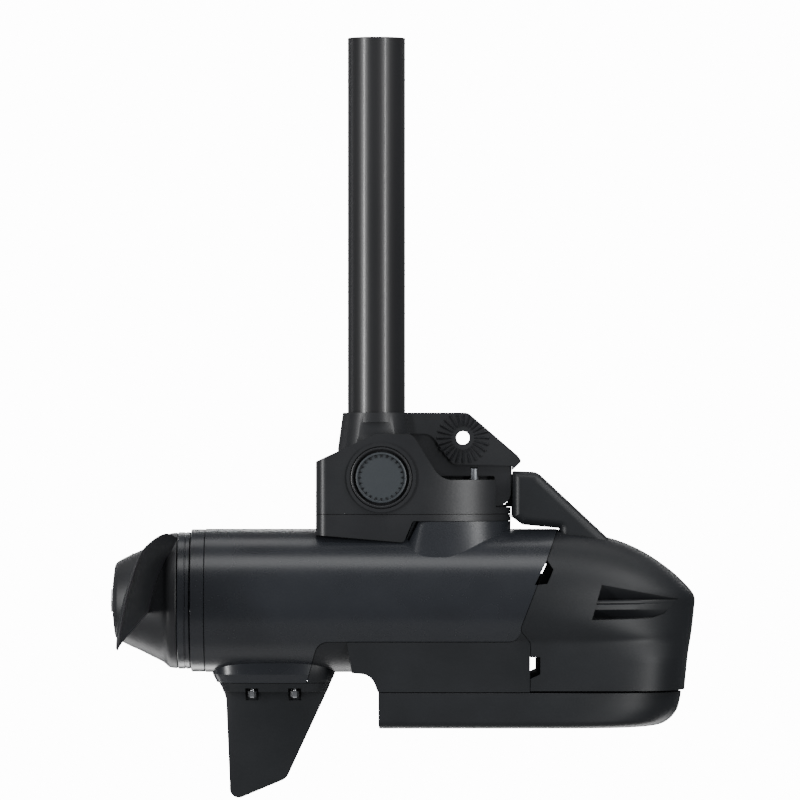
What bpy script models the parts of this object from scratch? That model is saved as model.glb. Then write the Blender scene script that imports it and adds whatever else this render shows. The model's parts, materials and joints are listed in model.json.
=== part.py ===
"""Trolling motor: shaft, tilting bracket, motor with nose and skeg, and propeller.

Metres, +Z up. The origin is the centre of the shaft tube's top end. The nose points
along +X and the propeller along -X. The tilt axis lies along Y, the propeller's along X.
"""

import math

import bmesh
import bpy
from mathutils import Matrix, Vector

MM = 0.001

# Driving dimensions, in millimetres.
SHAFT_R = 19.05  # a 1.5 inch shaft
SHAFT_WALL = 3.2
BRACKET_TOP = -248.2
PIVOT_X = 3.2
PIVOT_Z = -291.0
PIVOT_PIN_R = 6.0
BARREL_R = 19.3
CHEEK_OUT = 29.0
CHEEK_IN = 22.0
HOUSING_BACK = -40.0
HOUSING_FRONT = 89.0
HOUSING_FOOT = -315.1
BASE_FOOT = -319.7
AXIS_Z = -372.7
MOTOR_R = 47.5
MOTOR_BORE = 41.0
LINER_R = 44.2  # the motor housing where a cover lies over it
BELLY_HALF = 40.0
SADDLE_HALF = 24.4
BELLY_FOOT = -431.9
COVER_FOOT = -456.2
PROP_R = 127.0
SPIN_X = -150.0  # where the propeller's joint is marked on its axis
GAP = 0.3

BLACK = (0.016, 0.017, 0.020)
COLOURS = {
    "tube": (BLACK, 0.30, 0.0),
    "casting": ((0.022, 0.023, 0.026), 0.42, 0.0),
    "shell": ((0.020, 0.021, 0.025), 0.40, 0.0),
    "blade": ((0.014, 0.015, 0.017), 0.48, 0.0),
    "steel": ((0.72, 0.73, 0.75), 0.28, 1.0),
    "bronze": ((0.60, 0.42, 0.20), 0.40, 1.0),
    "iron": ((0.25, 0.26, 0.28), 0.45, 1.0),
    "copper": ((0.65, 0.30, 0.16), 0.35, 1.0),
    "rubber": ((0.02, 0.02, 0.02), 0.75, 0.0),
    "board": ((0.03, 0.20, 0.09), 0.45, 0.0),
    "ceramic": ((0.62, 0.60, 0.55), 0.50, 0.0),
}

X_AXIS = Matrix.Rotation(math.radians(90), 4, "Y")
Y_AXIS = Matrix.Rotation(math.radians(-90), 4, "X")
Z_AXIS = Matrix.Identity(4)


# ---------------------------------------------------------------- scene and materials


def clear_scene():
    for old in list(bpy.data.objects):
        bpy.data.objects.remove(old, do_unlink=True)


def new_collection(name):
    group = bpy.data.collections.new(name)
    bpy.context.scene.collection.children.link(group)
    return group


def make_material(name):
    colour, roughness, metallic = COLOURS[name]
    made = bpy.data.materials.new(name)
    made.use_nodes = True
    shader = made.node_tree.nodes["Principled BSDF"]
    shader.inputs["Base Color"].default_value = (*colour, 1.0)
    shader.inputs["Roughness"].default_value = roughness
    shader.inputs["Metallic"].default_value = metallic
    return made


clear_scene()
PARTS = new_collection("trolling_motor")
CUTTERS = new_collection("cutters")


def link_to(group, item):
    for other in list(item.users_collection):
        other.objects.unlink(item)
    group.objects.link(item)
    return item


def move_to(parent, item):
    """Parents an object without moving it."""
    item.parent = parent
    item.matrix_parent_inverse = parent.matrix_world.inverted()


def pivot_empty(name, place):
    empty = bpy.data.objects.new(name, None)
    empty.location = Vector(place) * MM
    PARTS.objects.link(empty)
    bpy.context.view_layer.update()
    return empty


def part(item, name, finish):
    """Names a finished object as a sub-part and gives it its own material."""
    item.name = name
    item.data.name = name
    made = make_material(finish)
    made.name = f"{name}_{finish}"
    item.data.materials.clear()
    item.data.materials.append(made)
    item.data.shade_smooth()
    item.data.set_sharp_from_angle(angle=math.radians(35))
    return link_to(PARTS, item)


# ---------------------------------------------------------------------- basic shapes


def take_active():
    return bpy.context.active_object


def cylinder(radius, low, high, axis=Z_AXIS, centre=(0, 0, 0), sides=32):
    """A cylinder from low to high along the axis through centre."""
    bpy.ops.mesh.primitive_cylinder_add(
        vertices=sides, radius=radius * MM, depth=(high - low) * MM
    )
    item = take_active()
    shift = Matrix.Translation(Vector((0, 0, (low + high) / 2)) * MM)
    item.data.transform(Matrix.Translation(Vector(centre) * MM) @ axis @ shift)
    return item


def box(low, high):
    bpy.ops.mesh.primitive_cube_add(size=1)
    item = take_active()
    low, high = Vector(low) * MM, Vector(high) * MM
    size = Matrix.Diagonal((*(high - low), 1))
    item.data.transform(Matrix.Translation((low + high) / 2) @ size)
    return item


def turned(profile, axis=Z_AXIS, centre=(0, 0, 0), steps=32):
    """Turns a profile of (radius, height) points, listed down its outer side."""
    mesh = bpy.data.meshes.new("profile")
    points = [(r * MM, 0, h * MM) for r, h in profile]
    on_axis = profile[0][0] == 0 and profile[-1][0] == 0
    edges = [(i, i + 1) for i in range(len(points) - 1)]
    if not on_axis:
        edges.append((len(points) - 1, 0))
    mesh.from_pydata(points, edges, [])
    item = bpy.data.objects.new("turned", mesh)
    PARTS.objects.link(item)
    item.matrix_world = Matrix.Translation(Vector(centre) * MM) @ axis
    screw = item.modifiers.new("turn", "SCREW")
    screw.steps = steps
    screw.render_steps = steps
    screw.use_merge_vertices = True
    screw.merge_threshold = 0.00001
    return item


def arc(start, end, steps):
    """Angles from start to end, given in degrees, in equal steps."""
    return [math.radians(start + (end - start) * k / steps) for k in range(steps + 1)]


def rounded(corners, step=18):
    """An outline of (x, y, radius) corners, with each radius drawn as an arc."""
    outline = []
    count = len(corners)
    for i, (x, y, radius) in enumerate(corners):
        here = Vector((x, y))
        if radius == 0:
            outline.append(here)
            continue
        before = (Vector(corners[i - 1][:2]) - here).normalized()
        after = (Vector(corners[(i + 1) % count][:2]) - here).normalized()
        half = before.angle(after) / 2
        reach = radius / math.tan(half)
        centre = here + (before + after).normalized() * radius / math.sin(half)
        first = here + before * reach - centre
        turn = first.angle_signed(here + after * reach - centre)
        arcs = max(2, round(abs(math.degrees(turn)) / step))
        for k in range(arcs + 1):
            angle = -turn * k / arcs
            outline.append(centre + Matrix.Rotation(angle, 2) @ first)
    return outline


def prism(outline, low, high, axis="Y"):
    """A flat outline made solid from low to high, along Y (x, z points) or Z (x, y)."""
    curve = bpy.data.curves.new("outline", "CURVE")
    curve.dimensions = "2D"
    curve.fill_mode = "BOTH"
    curve.extrude = (high - low) / 2 * MM
    spline = curve.splines.new("POLY")
    spline.points.add(len(outline) - 1)
    for point, (x, y) in zip(spline.points, outline):
        point.co = (x * MM, y * MM, 0, 1)
    spline.use_cyclic_u = True
    drawn = bpy.data.objects.new("outline", curve)
    middle = (low + high) / 2 * MM
    if axis == "Y":
        turn = Matrix.Translation((0, middle, 0)) @ Matrix.Rotation(math.pi / 2, 4, "X")
    else:
        turn = Matrix.Translation((0, 0, middle))
    drawn.matrix_world = turn
    PARTS.objects.link(drawn)
    bpy.context.view_layer.update()
    graph = bpy.context.evaluated_depsgraph_get()
    mesh = bpy.data.meshes.new_from_object(drawn.evaluated_get(graph))
    item = bpy.data.objects.new("prism", mesh)
    item.matrix_world = drawn.matrix_world
    PARTS.objects.link(item)
    bpy.data.objects.remove(drawn)
    weld(mesh)
    return item


def weld(mesh):
    body = bmesh.new()
    body.from_mesh(mesh)
    bmesh.ops.remove_doubles(body, verts=body.verts, dist=0.000005)
    bmesh.ops.recalc_face_normals(body, faces=body.faces)
    body.to_mesh(mesh)
    body.free()


def loft(loops):
    """Skins a stack of loops that have equal numbers of (x, y, z) points."""
    body = bmesh.new()
    rings = [[body.verts.new(Vector(p) * MM) for p in loop] for loop in loops]
    for lower, upper in zip(rings, rings[1:]):
        for i in range(len(lower)):
            k = (i + 1) % len(lower)
            body.faces.new((lower[i], lower[k], upper[k], upper[i]))
    body.faces.new(reversed(rings[0]))
    body.faces.new(rings[-1])
    bmesh.ops.recalc_face_normals(body, faces=body.faces)
    bmesh.ops.triangulate(body, faces=body.faces)
    mesh = bpy.data.meshes.new("loft")
    body.to_mesh(mesh)
    body.free()
    item = bpy.data.objects.new("loft", mesh)
    PARTS.objects.link(item)
    return item


def bevel(item, width, segments=2, angle=35):
    edge = item.modifiers.new("edges", "BEVEL")
    edge.width = width * MM
    edge.segments = segments
    edge.limit_method = "ANGLE"
    edge.angle_limit = math.radians(angle)
    return item


def boolean(target, tool, operation):
    step = target.modifiers.new(operation.lower(), "BOOLEAN")
    step.operation = operation
    step.solver = "EXACT"
    step.object = tool
    tool.hide_render = True
    tool.display_type = "WIRE"
    link_to(CUTTERS, tool)
    return target


def cut(target, *tools):
    for tool in tools:
        boolean(target, tool, "DIFFERENCE")
    return target


def join(target, *tools):
    for tool in tools:
        boolean(target, tool, "UNION")
    return target


def keep(target, tool):
    return boolean(target, tool, "INTERSECT")


def level(table, height):
    """Reads a table of (value, height) points, top to bottom, by straight lines."""
    for (a, high), (b, low) in zip(table, table[1:]):
        if height >= low:
            share = min(1, max(0, (high - height) / (high - low)))
            return a + (b - a) * share
    return table[-1][0]


def screw(name, head_r, head_h, shank_r, length, place, axis=Z_AXIS, head_sides=6):
    """A screw whose head lies on +axis at place, with its shank along -axis."""
    profile = cylinder(head_r, 0, head_h, axis, place, head_sides)
    shank = cylinder(shank_r, -length, 0.1, axis, place, 12)
    return part(join(profile, shank), name, "steel")


# ---------------------------------------------------------------------- shaft and bracket

FLIP = Matrix.Rotation(math.pi, 4, "X")

TUBE_FOOT = -277.0
SOCKET_TOP_R = 22.3
SOCKET_LOW_R = 25.6
SOCKET_WAIST = -254.5  # below this the socket is flat-sided, to pass between the cheeks
BARREL_HALF = 21.4
WING_HALF = 9.5
TONGUE_HALF = 7.0
ROSETTE = (57.3, -265.0)
ROSETTE_HOLE_R = 4.4
LOCK_PIN_Z = -262.0
LOCK_PIN_R = 2.5
STOP_X = 64.6
STOP_Y = -4.0
POCKET_FLOOR = -310.8
WING = [
    (0, BRACKET_TOP, 0),
    (60.5, BRACKET_TOP, 6),
    (93.5, -276.6, 0),
    (96.2, -280.4, 2),
    (91.8, -286.0, 0),
    (91.8, -283.4, 0),
    (50.5, -282.6, 6),
    (36.0, -262.2, 10),
    (0, -262.2, 0),
]
TONGUE = [
    (12, -256.0, 0),
    (50.0, -262.0, 0),
    (89.6, -281.0, 0),
    (89.5, -296.0, 0),
    (88.0, -310.0, 9),
    (74.0, -310.0, 1.5),
    (72.0, -297.0, 1.0),
    (42.0, -297.0, 4.0),
    (12, -304.0, 0),
]
# What is taken off the tongue's near face round the stop screw.
RECESS = [(36.0, -290.2, 0), (78.2, -290.2, 1), (79.6, -330.0, 0), (36.0, -330.0, 0)]
RECESS_Y = 0.4


def make_shaft():
    tube = cylinder(SHAFT_R, TUBE_FOOT, 0, sides=56)
    bore = cylinder(SHAFT_R - SHAFT_WALL, TUBE_FOOT - 1, 1, sides=40)
    pin_hole = cylinder(LOCK_PIN_R + 0.2, -40, 40, X_AXIS, (0, 0, LOCK_PIN_Z), 16)
    cut(tube, bore, pin_hole)
    part(tube, "shaft_tube", "tube")
    pin = cylinder(LOCK_PIN_R, -21.5, 21.5, X_AXIS, (0, 0, LOCK_PIN_Z), 14)
    part(pin, "shaft_lock_pin", "steel")
    cable = cylinder(4.0, TUBE_FOOT + 3, -6.0, centre=(0, 9.0, 0), sides=12)
    part(cable, "power_cable", "rubber")
    plug = turned(
        [(0, 2.4), (SHAFT_R - SHAFT_WALL - GAP, 2.4), (SHAFT_R - SHAFT_WALL - GAP, 0), (0, 0)],
        centre=(0, 0, TUBE_FOOT + 0.2),
        steps=32,
    )
    part(plug, "cable_grommet", "rubber")


def make_upper_bracket():
    socket = turned(
        [
            (0, BRACKET_TOP),
            (SOCKET_TOP_R - 1, BRACKET_TOP),
            (SOCKET_TOP_R, BRACKET_TOP - 1),
            (SOCKET_LOW_R, PIVOT_Z + 19),
            (SOCKET_LOW_R, PIVOT_Z + 6),
            (0, PIVOT_Z + 6),
        ],
    )
    for low, high in ((-60, -BARREL_HALF), (BARREL_HALF, 60)):
        cut(socket, box((-60, low, -320), (120, high, SOCKET_WAIST)))
    barrel = cylinder(BARREL_R, -BARREL_HALF, BARREL_HALF, Y_AXIS, (PIVOT_X, 0, PIVOT_Z), 40)
    wing = prism(rounded(WING), -WING_HALF, WING_HALF)
    tongue = prism(rounded(TONGUE), -TONGUE_HALF, TONGUE_HALF)
    join(socket, barrel, wing, tongue)
    tube_bore = cylinder(SHAFT_R + GAP, TUBE_FOOT - GAP, -200, sides=56)
    pin_hole = cylinder(LOCK_PIN_R + 0.2, -22, 22, X_AXIS, (0, 0, LOCK_PIN_Z), 16)
    pivot_bore = cylinder(PIVOT_PIN_R + 2.3, -30, 30, Y_AXIS, (PIVOT_X, 0, PIVOT_Z), 32)
    rosette_at = (ROSETTE[0], 0, ROSETTE[1])
    bolt_hole = cylinder(ROSETTE_HOLE_R, -20, 20, Y_AXIS, rosette_at, 24)
    stop_hole = cylinder(3.7, -292.0, -284.4, centre=(STOP_X, STOP_Y, 0), sides=20)
    recess = prism(rounded(RECESS), -12.0, RECESS_Y)
    cut(socket, tube_bore, pin_hole, pivot_bore, bolt_hole, stop_hole, recess)
    part(socket, "upper_bracket", "casting")


def make_stop_screw():
    top, foot = -284.8, POCKET_FLOOR + GAP
    shank = cylinder(3.3, foot, top, centre=(STOP_X, STOP_Y, 0), sides=20)
    part(bevel(shank, 0.5, 1), "stop_screw", "steel")


def make_bushes():
    for name, side in (("near", FLIP), ("far", Z_AXIS)):
        bush = turned(
            [
                (PIVOT_PIN_R + 2.0, 21.3),
                (PIVOT_PIN_R + 2.0, 1.0),
                (PIVOT_PIN_R + 0.08, 1.0),
                (PIVOT_PIN_R + 0.08, 21.3),
            ],
            Matrix.Translation(Vector((PIVOT_X, 0, PIVOT_Z)) * MM) @ side @ Y_AXIS,
            steps=24,
        )
        part(bush, f"pivot_bush_{name}", "bronze")


# ------------------------------------------------------------------------ lower bracket

CHEEK = [
    (HOUSING_BACK - 2, HOUSING_FOOT - 2, 0),
    (HOUSING_BACK - 2, -280.6, 0),
    (HOUSING_BACK, -280.6, 1),
    (-0.5, -262.2, 12),
    (23.5, -262.2, 7),
    (42.5, -292.6, 14),
    (95.0, -292.6, 0),
    (95.0, HOUSING_FOOT - 2, 0),
]
CAP_R = 16.8
CAP_SEAT_R = 18.2
RING_SEAT_R = 20.7
BOSS_R = 22.9
BOSS_OUT = 30.6
PLAN_MIDDLE = 31.0
PLAN_POWER = 1.9
POCKET_MOUTH = 15.5  # half the width of the pocket at its front
BRACKET_SCREWS = [(-22, -13), (-22, 13), (48, -13), (48, 13)]


def housing_plan():
    """The lower bracket's plan: a box whose front end swells out to a blunt nose."""
    half, back = CHEEK_OUT, HOUSING_BACK
    reach = HOUSING_FRONT - PLAN_MIDDLE
    nose = []
    for angle in arc(-86, 86, 22):
        c, s = math.cos(angle), math.sin(angle)
        across = math.copysign(abs(s) ** (2 / PLAN_POWER), s) * half
        nose.append((PLAN_MIDDLE + c ** (2 / PLAN_POWER) * reach, across))
    ends = [(PLAN_MIDDLE, half, 0), (back, half, 8), (back, -half, 8), (PLAN_MIDDLE, -half, 0)]
    return [tuple(p) for p in rounded(ends)] + nose


def at_pivot(side):
    """Puts a part that was turned about Z on the tilt axis, facing out on one side."""
    return Matrix.Translation(Vector((PIVOT_X, 0, PIVOT_Z)) * MM) @ side @ Y_AXIS


def make_bracket_housing():
    body = prism(housing_plan(), HOUSING_FOOT, -255, "Z")
    keep(body, prism(rounded(CHEEK), -40, 40))
    boss = cylinder(BOSS_R, -BOSS_OUT, BOSS_OUT, Y_AXIS, (PIVOT_X, 0, PIVOT_Z), 36)
    join(body, bevel(boss, 1.0, 1))
    back_wall = [(-35.6, POCKET_FLOOR), (-35.6, -300), (-60, -300), (-60, -200)]
    pocket = prism(back_wall + [(120, -200), (120, POCKET_FLOOR)], -CHEEK_IN, CHEEK_IN)
    wide, mouth = CHEEK_IN + 2, POCKET_MOUTH
    taper = [(-70, -wide), (14, -wide), (78, -mouth), (130, -mouth)]
    taper += [(x, -y) for x, y in reversed(taper)]
    keep(pocket, prism(taper, -340, -190, "Z"))
    pin_bore = cylinder(PIVOT_PIN_R + GAP, -40, 40, Y_AXIS, (PIVOT_X, 0, PIVOT_Z), 32)
    cut(body, pocket, pin_bore)
    for out in (-1, 1):
        for radius, floor in ((RING_SEAT_R, 28.2), (CAP_SEAT_R, 25.4)):
            ends = sorted((floor * out, 40 * out))
            cut(body, cylinder(radius, *ends, Y_AXIS, (PIVOT_X, 0, PIVOT_Z), 36))
    for x, y in BRACKET_SCREWS:
        cut(body, cylinder(2.4, -330, -300, centre=(x, y, 0), sides=14))
    part(body, "bracket_housing", "casting")


def make_bracket_base():
    body = prism(housing_plan(), BASE_FOOT - 16, HOUSING_FOOT - GAP, "Z")
    side = [
        (HOUSING_BACK - 5, -310, 0),
        (HOUSING_BACK - 5, -328.4, 0),
        (18.0, -333.8, 3),
        (24.0, BASE_FOOT, 2),
        (100, BASE_FOOT, 0),
        (100, -310, 0),
    ]
    keep(body, prism(rounded(side), -40, 40))
    motor = cylinder(MOTOR_R + 0.9, -80, 160, X_AXIS, (0, 0, AXIS_Z), 48)
    cut(body, motor)
    for x, y in BRACKET_SCREWS:
        cut(body, cylinder(2.4, -345, -300, centre=(x, y, 0), sides=14))
    part(body, "bracket_base", "casting")


def make_bracket_screws():
    for number, (x, y) in enumerate(BRACKET_SCREWS, 1):
        length = 13.0 if x < 0 else 20.0
        place = (x, y, POCKET_FLOOR + GAP)
        screw(f"bracket_screw_{number}", 4.0, 3.0, 2.1, length, place)


def toothed(radius, depth, teeth):
    """A round outline with small rounded teeth that point inwards."""
    points = []
    for i in range(teeth):
        for share, drop in ((0.0, 0), (0.36, 0), (0.68, depth)):
            angle = 2 * math.pi * (i + share) / teeth
            reach = radius - drop
            points.append((reach * math.cos(angle), reach * math.sin(angle)))
    return points


def make_pivot_parts():
    pin = cylinder(PIVOT_PIN_R, -25.0, 25.0, Y_AXIS, (PIVOT_X, 0, PIVOT_Z), 32)
    part(pin, "pivot_pin", "steel")
    for name, side in (("near", FLIP), ("far", Z_AXIS)):
        ring = turned(
            [(CAP_SEAT_R + 0.5, 30.2), (RING_SEAT_R - 0.5, 30.2), (RING_SEAT_R - GAP, 30.0),
             (RING_SEAT_R - GAP, 28.5), (CAP_SEAT_R + 0.3, 28.5), (CAP_SEAT_R + 0.3, 30.0)],
            at_pivot(side),
            steps=28,
        )
        part(ring, f"pivot_ring_{name}", "casting")
        cap = turned(
            [(0, 31.0), (CAP_R - 0.6, 31.0), (CAP_R, 30.4), (CAP_R, 25.7), (0, 25.7)],
            at_pivot(side),
        )
        recess = prism(toothed(15.2, 1.2, 24), 29.9, 32.0, "Z")
        recess.matrix_world = at_pivot(side) @ recess.matrix_world
        cut(cap, recess)
        part(cap, f"pivot_cap_{name}", "shell")


# ----------------------------------------------------------------------- motor and nose

SEAM = [
    (131.0, -297.0, 0),
    (119.6, -325.7, 0),
    (94.4, -391.0, 5),
    (101.4, -399.4, 6),
    (101.0, -440.0, 0),
]
BELLY_TOP = -399.0
# The foot of the neck that stands behind the slanted end of the bracket's base.
HEEL = [(18.6, -334.4), (24.6, -320.0), (44.0, -320.0), (44.0, -345.0), (16.0, -345.0)]
BELLY_EDGE = [(-46.1, -427.0, 0), (-38.4, BELLY_TOP, 9)]
UPPER_WINDOW = [(112.3, -345.0), (116.4, -351.2), (114.2, -356.6), (112.3, -360.6), (104.0, -361.4)]
LOWER_WINDOW = [(99.0, -408.8), (107.8, -408.8), (107.8, -420.2), (99.0, -424.2)]
MOTOR_BACK = -113.0
BELL_X = 76.0
SADDLE_FOOT = -426.6


def plan_loop(z, centre, back, front, half, back_power, front_power, count=28):
    """A closed loop in plan, squarer where its power is higher."""
    loop = []
    for k in range(count):
        angle = 2 * math.pi * (k + 0.5) / count
        c, s = math.cos(angle), math.sin(angle)
        reach, power = (front, front_power) if c > 0 else (back, back_power)
        x = centre + math.copysign(abs(c) ** (2 / power), c) * reach
        y = math.copysign(abs(s) ** (2 / power), s) * half
        loop.append((x, y, z))
    return loop


def make_saddle():
    return loft(
        [
            plan_loop(-398.0, -68.0, 42.5, 42.5, SADDLE_HALF, 3.2, 3.2),
            plan_loop(-421.0, -68.0, 40.5, 40.5, SADDLE_HALF, 3.2, 3.2),
            plan_loop(SADDLE_FOOT, -68.0, 37.6, 38.0, SADDLE_HALF - 2.5, 3.2, 3.2),
        ]
    )


def region(outline):
    return prism(outline, -90, 90)


def seam_front(shift):
    """What lies in front of the seam between motor and nose."""
    line = [(x + shift, z, r) for x, z, r in SEAM]
    return region(rounded(line + [(260, -440, 0), (260, -297, 0)]))


def seam_back(shift):
    line = [(x + shift, z, r) for x, z, r in SEAM]
    return region(rounded(line + [(-160, -440, 0), (-160, -297, 0)]))


def belly_region(grow):
    """The side view of what the belly cover takes from the motor's round body."""
    edge = [(x - grow, z + grow, r) for x, z, r in BELLY_EDGE]
    corner = [(92.6, BELLY_TOP + grow, 8), (103.5, -369.0 + grow, 0), (130.0, -369.0 + grow, 0)]
    outline = edge + corner + [(130.0, -470, 0), (-46.1 - grow, -470, 0)]
    return region(rounded(outline))


def make_motor_housing():
    body = cylinder(MOTOR_R, MOTOR_BACK, 125, X_AXIS, (0, 0, AXIS_Z), 48)
    neck = loft(
        [
            plan_loop(-360.0, 44.0, 30.0, 44.5, 38.4, 4, 2),
            plan_loop(-344.0, 44.0, 30.0, 44.5, 37.6, 4, 2),
            plan_loop(BASE_FOOT - GAP, 40.0, 15.4, 49.0, 28.6, 4, 1.9),
        ]
    )
    heel = prism(HEEL, -23.0, 23.0)
    join(body, neck, heel, make_saddle())
    liner = cylinder(LINER_R, -60, 140, X_AXIS, (0, 0, AXIS_Z), 48)
    cover_room = belly_region(0.15)
    cut(cover_room, liner)
    cut(body, cover_room)
    bore = cylinder(MOTOR_BORE, -140, 140, X_AXIS, (0, 0, AXIS_Z), 48)
    cut(body, bore, seam_front(-0.2), region(UPPER_WINDOW))
    for x, y in BRACKET_SCREWS[2:]:
        cut(body, cylinder(2.4, -332, -300, centre=(x, y, 0), sides=14))
    for x, y in SKEG_SCREWS:
        cut(body, cylinder(2.0, -440, -420, centre=(x, y, 0), sides=12))
    part(body, "motor_housing", "shell")


def make_belly_cover():
    body = cylinder(MOTOR_R, -60, 120, X_AXIS, (0, 0, AXIS_Z), 48)
    skirt = [
        (-20.0, -395.0, 0),
        (-16.0, -419.6, 0),
        (-10.0, -420.6, 0),
        (-5.2, -422.9, 0),
        (-1.9, -426.2, 0),
        (0.4, BELLY_FOOT, 0),
        (120, BELLY_FOOT, 0),
        (120, -395.0, 0),
    ]
    block = prism(rounded(skirt), -BELLY_HALF, BELLY_HALF)
    join(body, make_saddle(), block)
    keep(body, belly_region(-0.15))
    liner = cylinder(LINER_R + GAP, -80, 140, X_AXIS, (0, 0, AXIS_Z), 48)
    hollow = box((13, -36.0, -450), (79, 36.0, -401))
    cut(body, seam_front(-0.2), liner, hollow)
    for x in COVER_SCREWS[:2]:
        cut(body, cylinder(1.9, -440, -424, centre=(x, 0, 0), sides=12))
    part(body, "belly_cover", "shell")


# The front edge of the nose and of the cover under it: (x, z), from the top down.
NOSE_EDGE = [
    (121.0, -325.7),
    (139.5, -328.0),
    (154.7, -331.2),
    (168.0, -335.9),
    (181.2, -342.8),
    (194.5, -352.2),
    (203.5, -360.4),
    (209.0, -366.6),
    (211.4, -371.6),
    (211.0, -376.0),
    (209.0, -392.3),
    (206.4, -408.8),
    (204.1, -431.2),
]
COVER_EDGE = [
    (202.0, -432.4),
    (201.1, -438.0),
    (199.2, -444.5),
    (195.1, -450.1),
    (189.4, -453.9),
    (182.2, -455.5),
    (173.6, COVER_FOOT),
]
NOSE_LEVELS = [
    -325.7, -328.0, -332.0, -338.0, -346.0, -355.0, -363.0, -369.5,
    -375.0, -384.0, -391.0, -398.5, -412.0, -431.2,
]
NOSE_BACK = 88.0


def bow_loop(z, back, front, half, power, count=11):
    """A plan loop with a straight back and sides that round into a bow."""
    side = []
    for k in range(count):
        share = math.sin(math.pi / 2 * k / (count - 1))
        width = half * max(0, 1 - share**power) ** 0.5
        side.append((back + (front - back) * share, width))
    side[-1] = (front, 0.0)
    near = [(x, -w, z) for x, w in side]
    far = [(x, w, z) for x, w in side[-2::-1]]
    return near + far


def nose_loops(inset):
    loops = []
    for z in NOSE_LEVELS:
        rise = z - AXIS_Z
        round_half = math.sqrt(max(MOTOR_R**2 - rise**2, 30.0))
        half = max(round_half, BELLY_HALF) if rise < 0 else round_half
        drop = min(1, max(0, (AXIS_Z - z) / 38.0))
        power = 2.3 + 5.7 * drop**2
        front = level([(x, h) for x, h in NOSE_EDGE], z)
        place = z
        if inset:
            middle = (NOSE_LEVELS[0] + NOSE_LEVELS[-1]) / 2
            span = (NOSE_LEVELS[0] - NOSE_LEVELS[-1]) / 2
            place = middle + (z - middle) * (span - inset) / span
        loops.append(bow_loop(place, NOSE_BACK, front - inset, max(half - inset, 1), power))
    return loops


HOOD = [
    (90.0, -286.9, 2.5),
    (106.5, -287.6, 0),
    (113.0, -290.9, 0),
    (156.0, -333.8, 0),
    (150.0, -334.5, 0),
    (122.0, -334.5, 0),
    (121.0, -324.8, 0),
    (96.5, -322.4, 4),
    (90.0, -317.6, 0),
]
GILL = [(148.1, -361.2), (199.0, -371.0), (189.4, -380.6), (180.0, -383.7), (141.6, -384.3)]
GILL_DEPTH = 6.0
NOSE_WALL = 10.0


def make_nose_cone():
    body = cut(loft(nose_loops(0)), seam_back(0.2))
    hood = bevel(prism(rounded(HOOD), -13.0, 13.0), 3.0, 2, 60)
    join(body, hood)
    hollow = loft(nose_loops(NOSE_WALL))
    gills = region(GILL)
    cut(gills, loft(nose_loops(GILL_DEPTH)))
    cut(body, hollow, gills, region(UPPER_WINDOW), region(LOWER_WINDOW))
    cut(body, cylinder(1.9, -440, -424, centre=(COVER_SCREWS[2], 0, 0), sides=12))
    part(body, "nose_cone", "shell")


# ----------------------------------------------------------------- sonar cover and skeg

COVER_BACK = 1.3
COVER_SCREWS = (7.5, 86.0, 166.5)
SKEG_SCREWS = [(-82.2, -7.6), (-54.0, -7.6), (-82.2, 7.6), (-54.0, 7.6)]
FLANGE_TOP = -426.9
FIN_TOP = -432.6


def cover_loops(inset):
    loops = []
    levels = [-432.4, -443.0, -449.4, -453.3, -455.5, COVER_FOOT]
    for z in levels:
        near_foot = max(0, (-451.2 - z) / 5.0)
        half = BELLY_HALF + 0.1 - 3.2 * near_foot**2
        front = level(COVER_EDGE, z)
        back = COVER_BACK + 1.6 * near_foot**2
        place = z + inset if z < -449 else z + (1 if inset else 0)
        loops.append(bow_loop(place, back + inset, front - inset, half - inset, 8.0))
    return loops


def make_sonar_cover():
    body = loft(cover_loops(0))
    cut(body, loft(cover_loops(3.0)))
    up = Matrix.Rotation(math.pi, 4, "X")
    for number, x in enumerate(COVER_SCREWS, 1):
        join(body, cylinder(4.4, COVER_FOOT + 1, -432.6, centre=(x, 0, 0), sides=20))
        cut(body, cylinder(1.9, -470, -430, centre=(x, 0, 0), sides=12))
        cut(body, cylinder(3.4, -470, COVER_FOOT + 3.5, centre=(x, 0, 0), sides=20))
        place = (x, 0, COVER_FOOT + 3.2)
        screw(f"cover_screw_{number}", 2.9, 2.4, 1.7, 28.0, place, up, 16)
    part(body, "sonar_cover", "shell")
    for name, low, high in (("rear", 15, 78), ("front", 94, 158)):
        element = bevel(box((low, -15, -452.6), (high, 15, -438.0)), 2.0, 2)
        part(element, f"sonar_element_{name}", "ceramic")


def make_skeg():
    flange = loft(
        [
            plan_loop(FLANGE_TOP, -68.0, 37.2, 37.7, SADDLE_HALF - 2.7, 3.2, 3.2),
            plan_loop(FIN_TOP, -68.0, 35.2, 36.0, SADDLE_HALF - 4.4, 3.2, 3.2),
        ]
    )
    fin = loft([fin_loop(z) for z in (-431.0, -440.0, -470.0, -492.0, -499.0, -503.9)])
    join(flange, fin)
    side = [
        (-120, -400, 0),
        (-102.0, -430.0, 0),
        (-99.6, -437.5, 0),
        (-97.2, -494.0, 0),
        (-97.2, -506.4, 6),
        (-59.6, -490.6, 8),
        (-31.0, -429.0, 0),
        (-20, -400, 0),
    ]
    keep(flange, prism(rounded(side), -40, 40))
    for x, y in SKEG_SCREWS:
        out = math.copysign(1, y)
        low, high = sorted((3.2 * out, 40 * out))
        room = box((x - 4.3, low, -438.6), (x + 4.3, high, -430.2))
        hole = cylinder(2.0, -440, -420, centre=(x, y, 0), sides=12)
        cut(flange, room, hole)
    part(flange, "skeg", "shell")
    down = Matrix.Rotation(math.pi, 4, "X")
    for number, (x, y) in enumerate(SKEG_SCREWS, 1):
        place = (x, y, -430.5)
        screw(f"skeg_screw_{number}", 2.7, 4.6, 1.7, 9.0, place, down)


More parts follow.
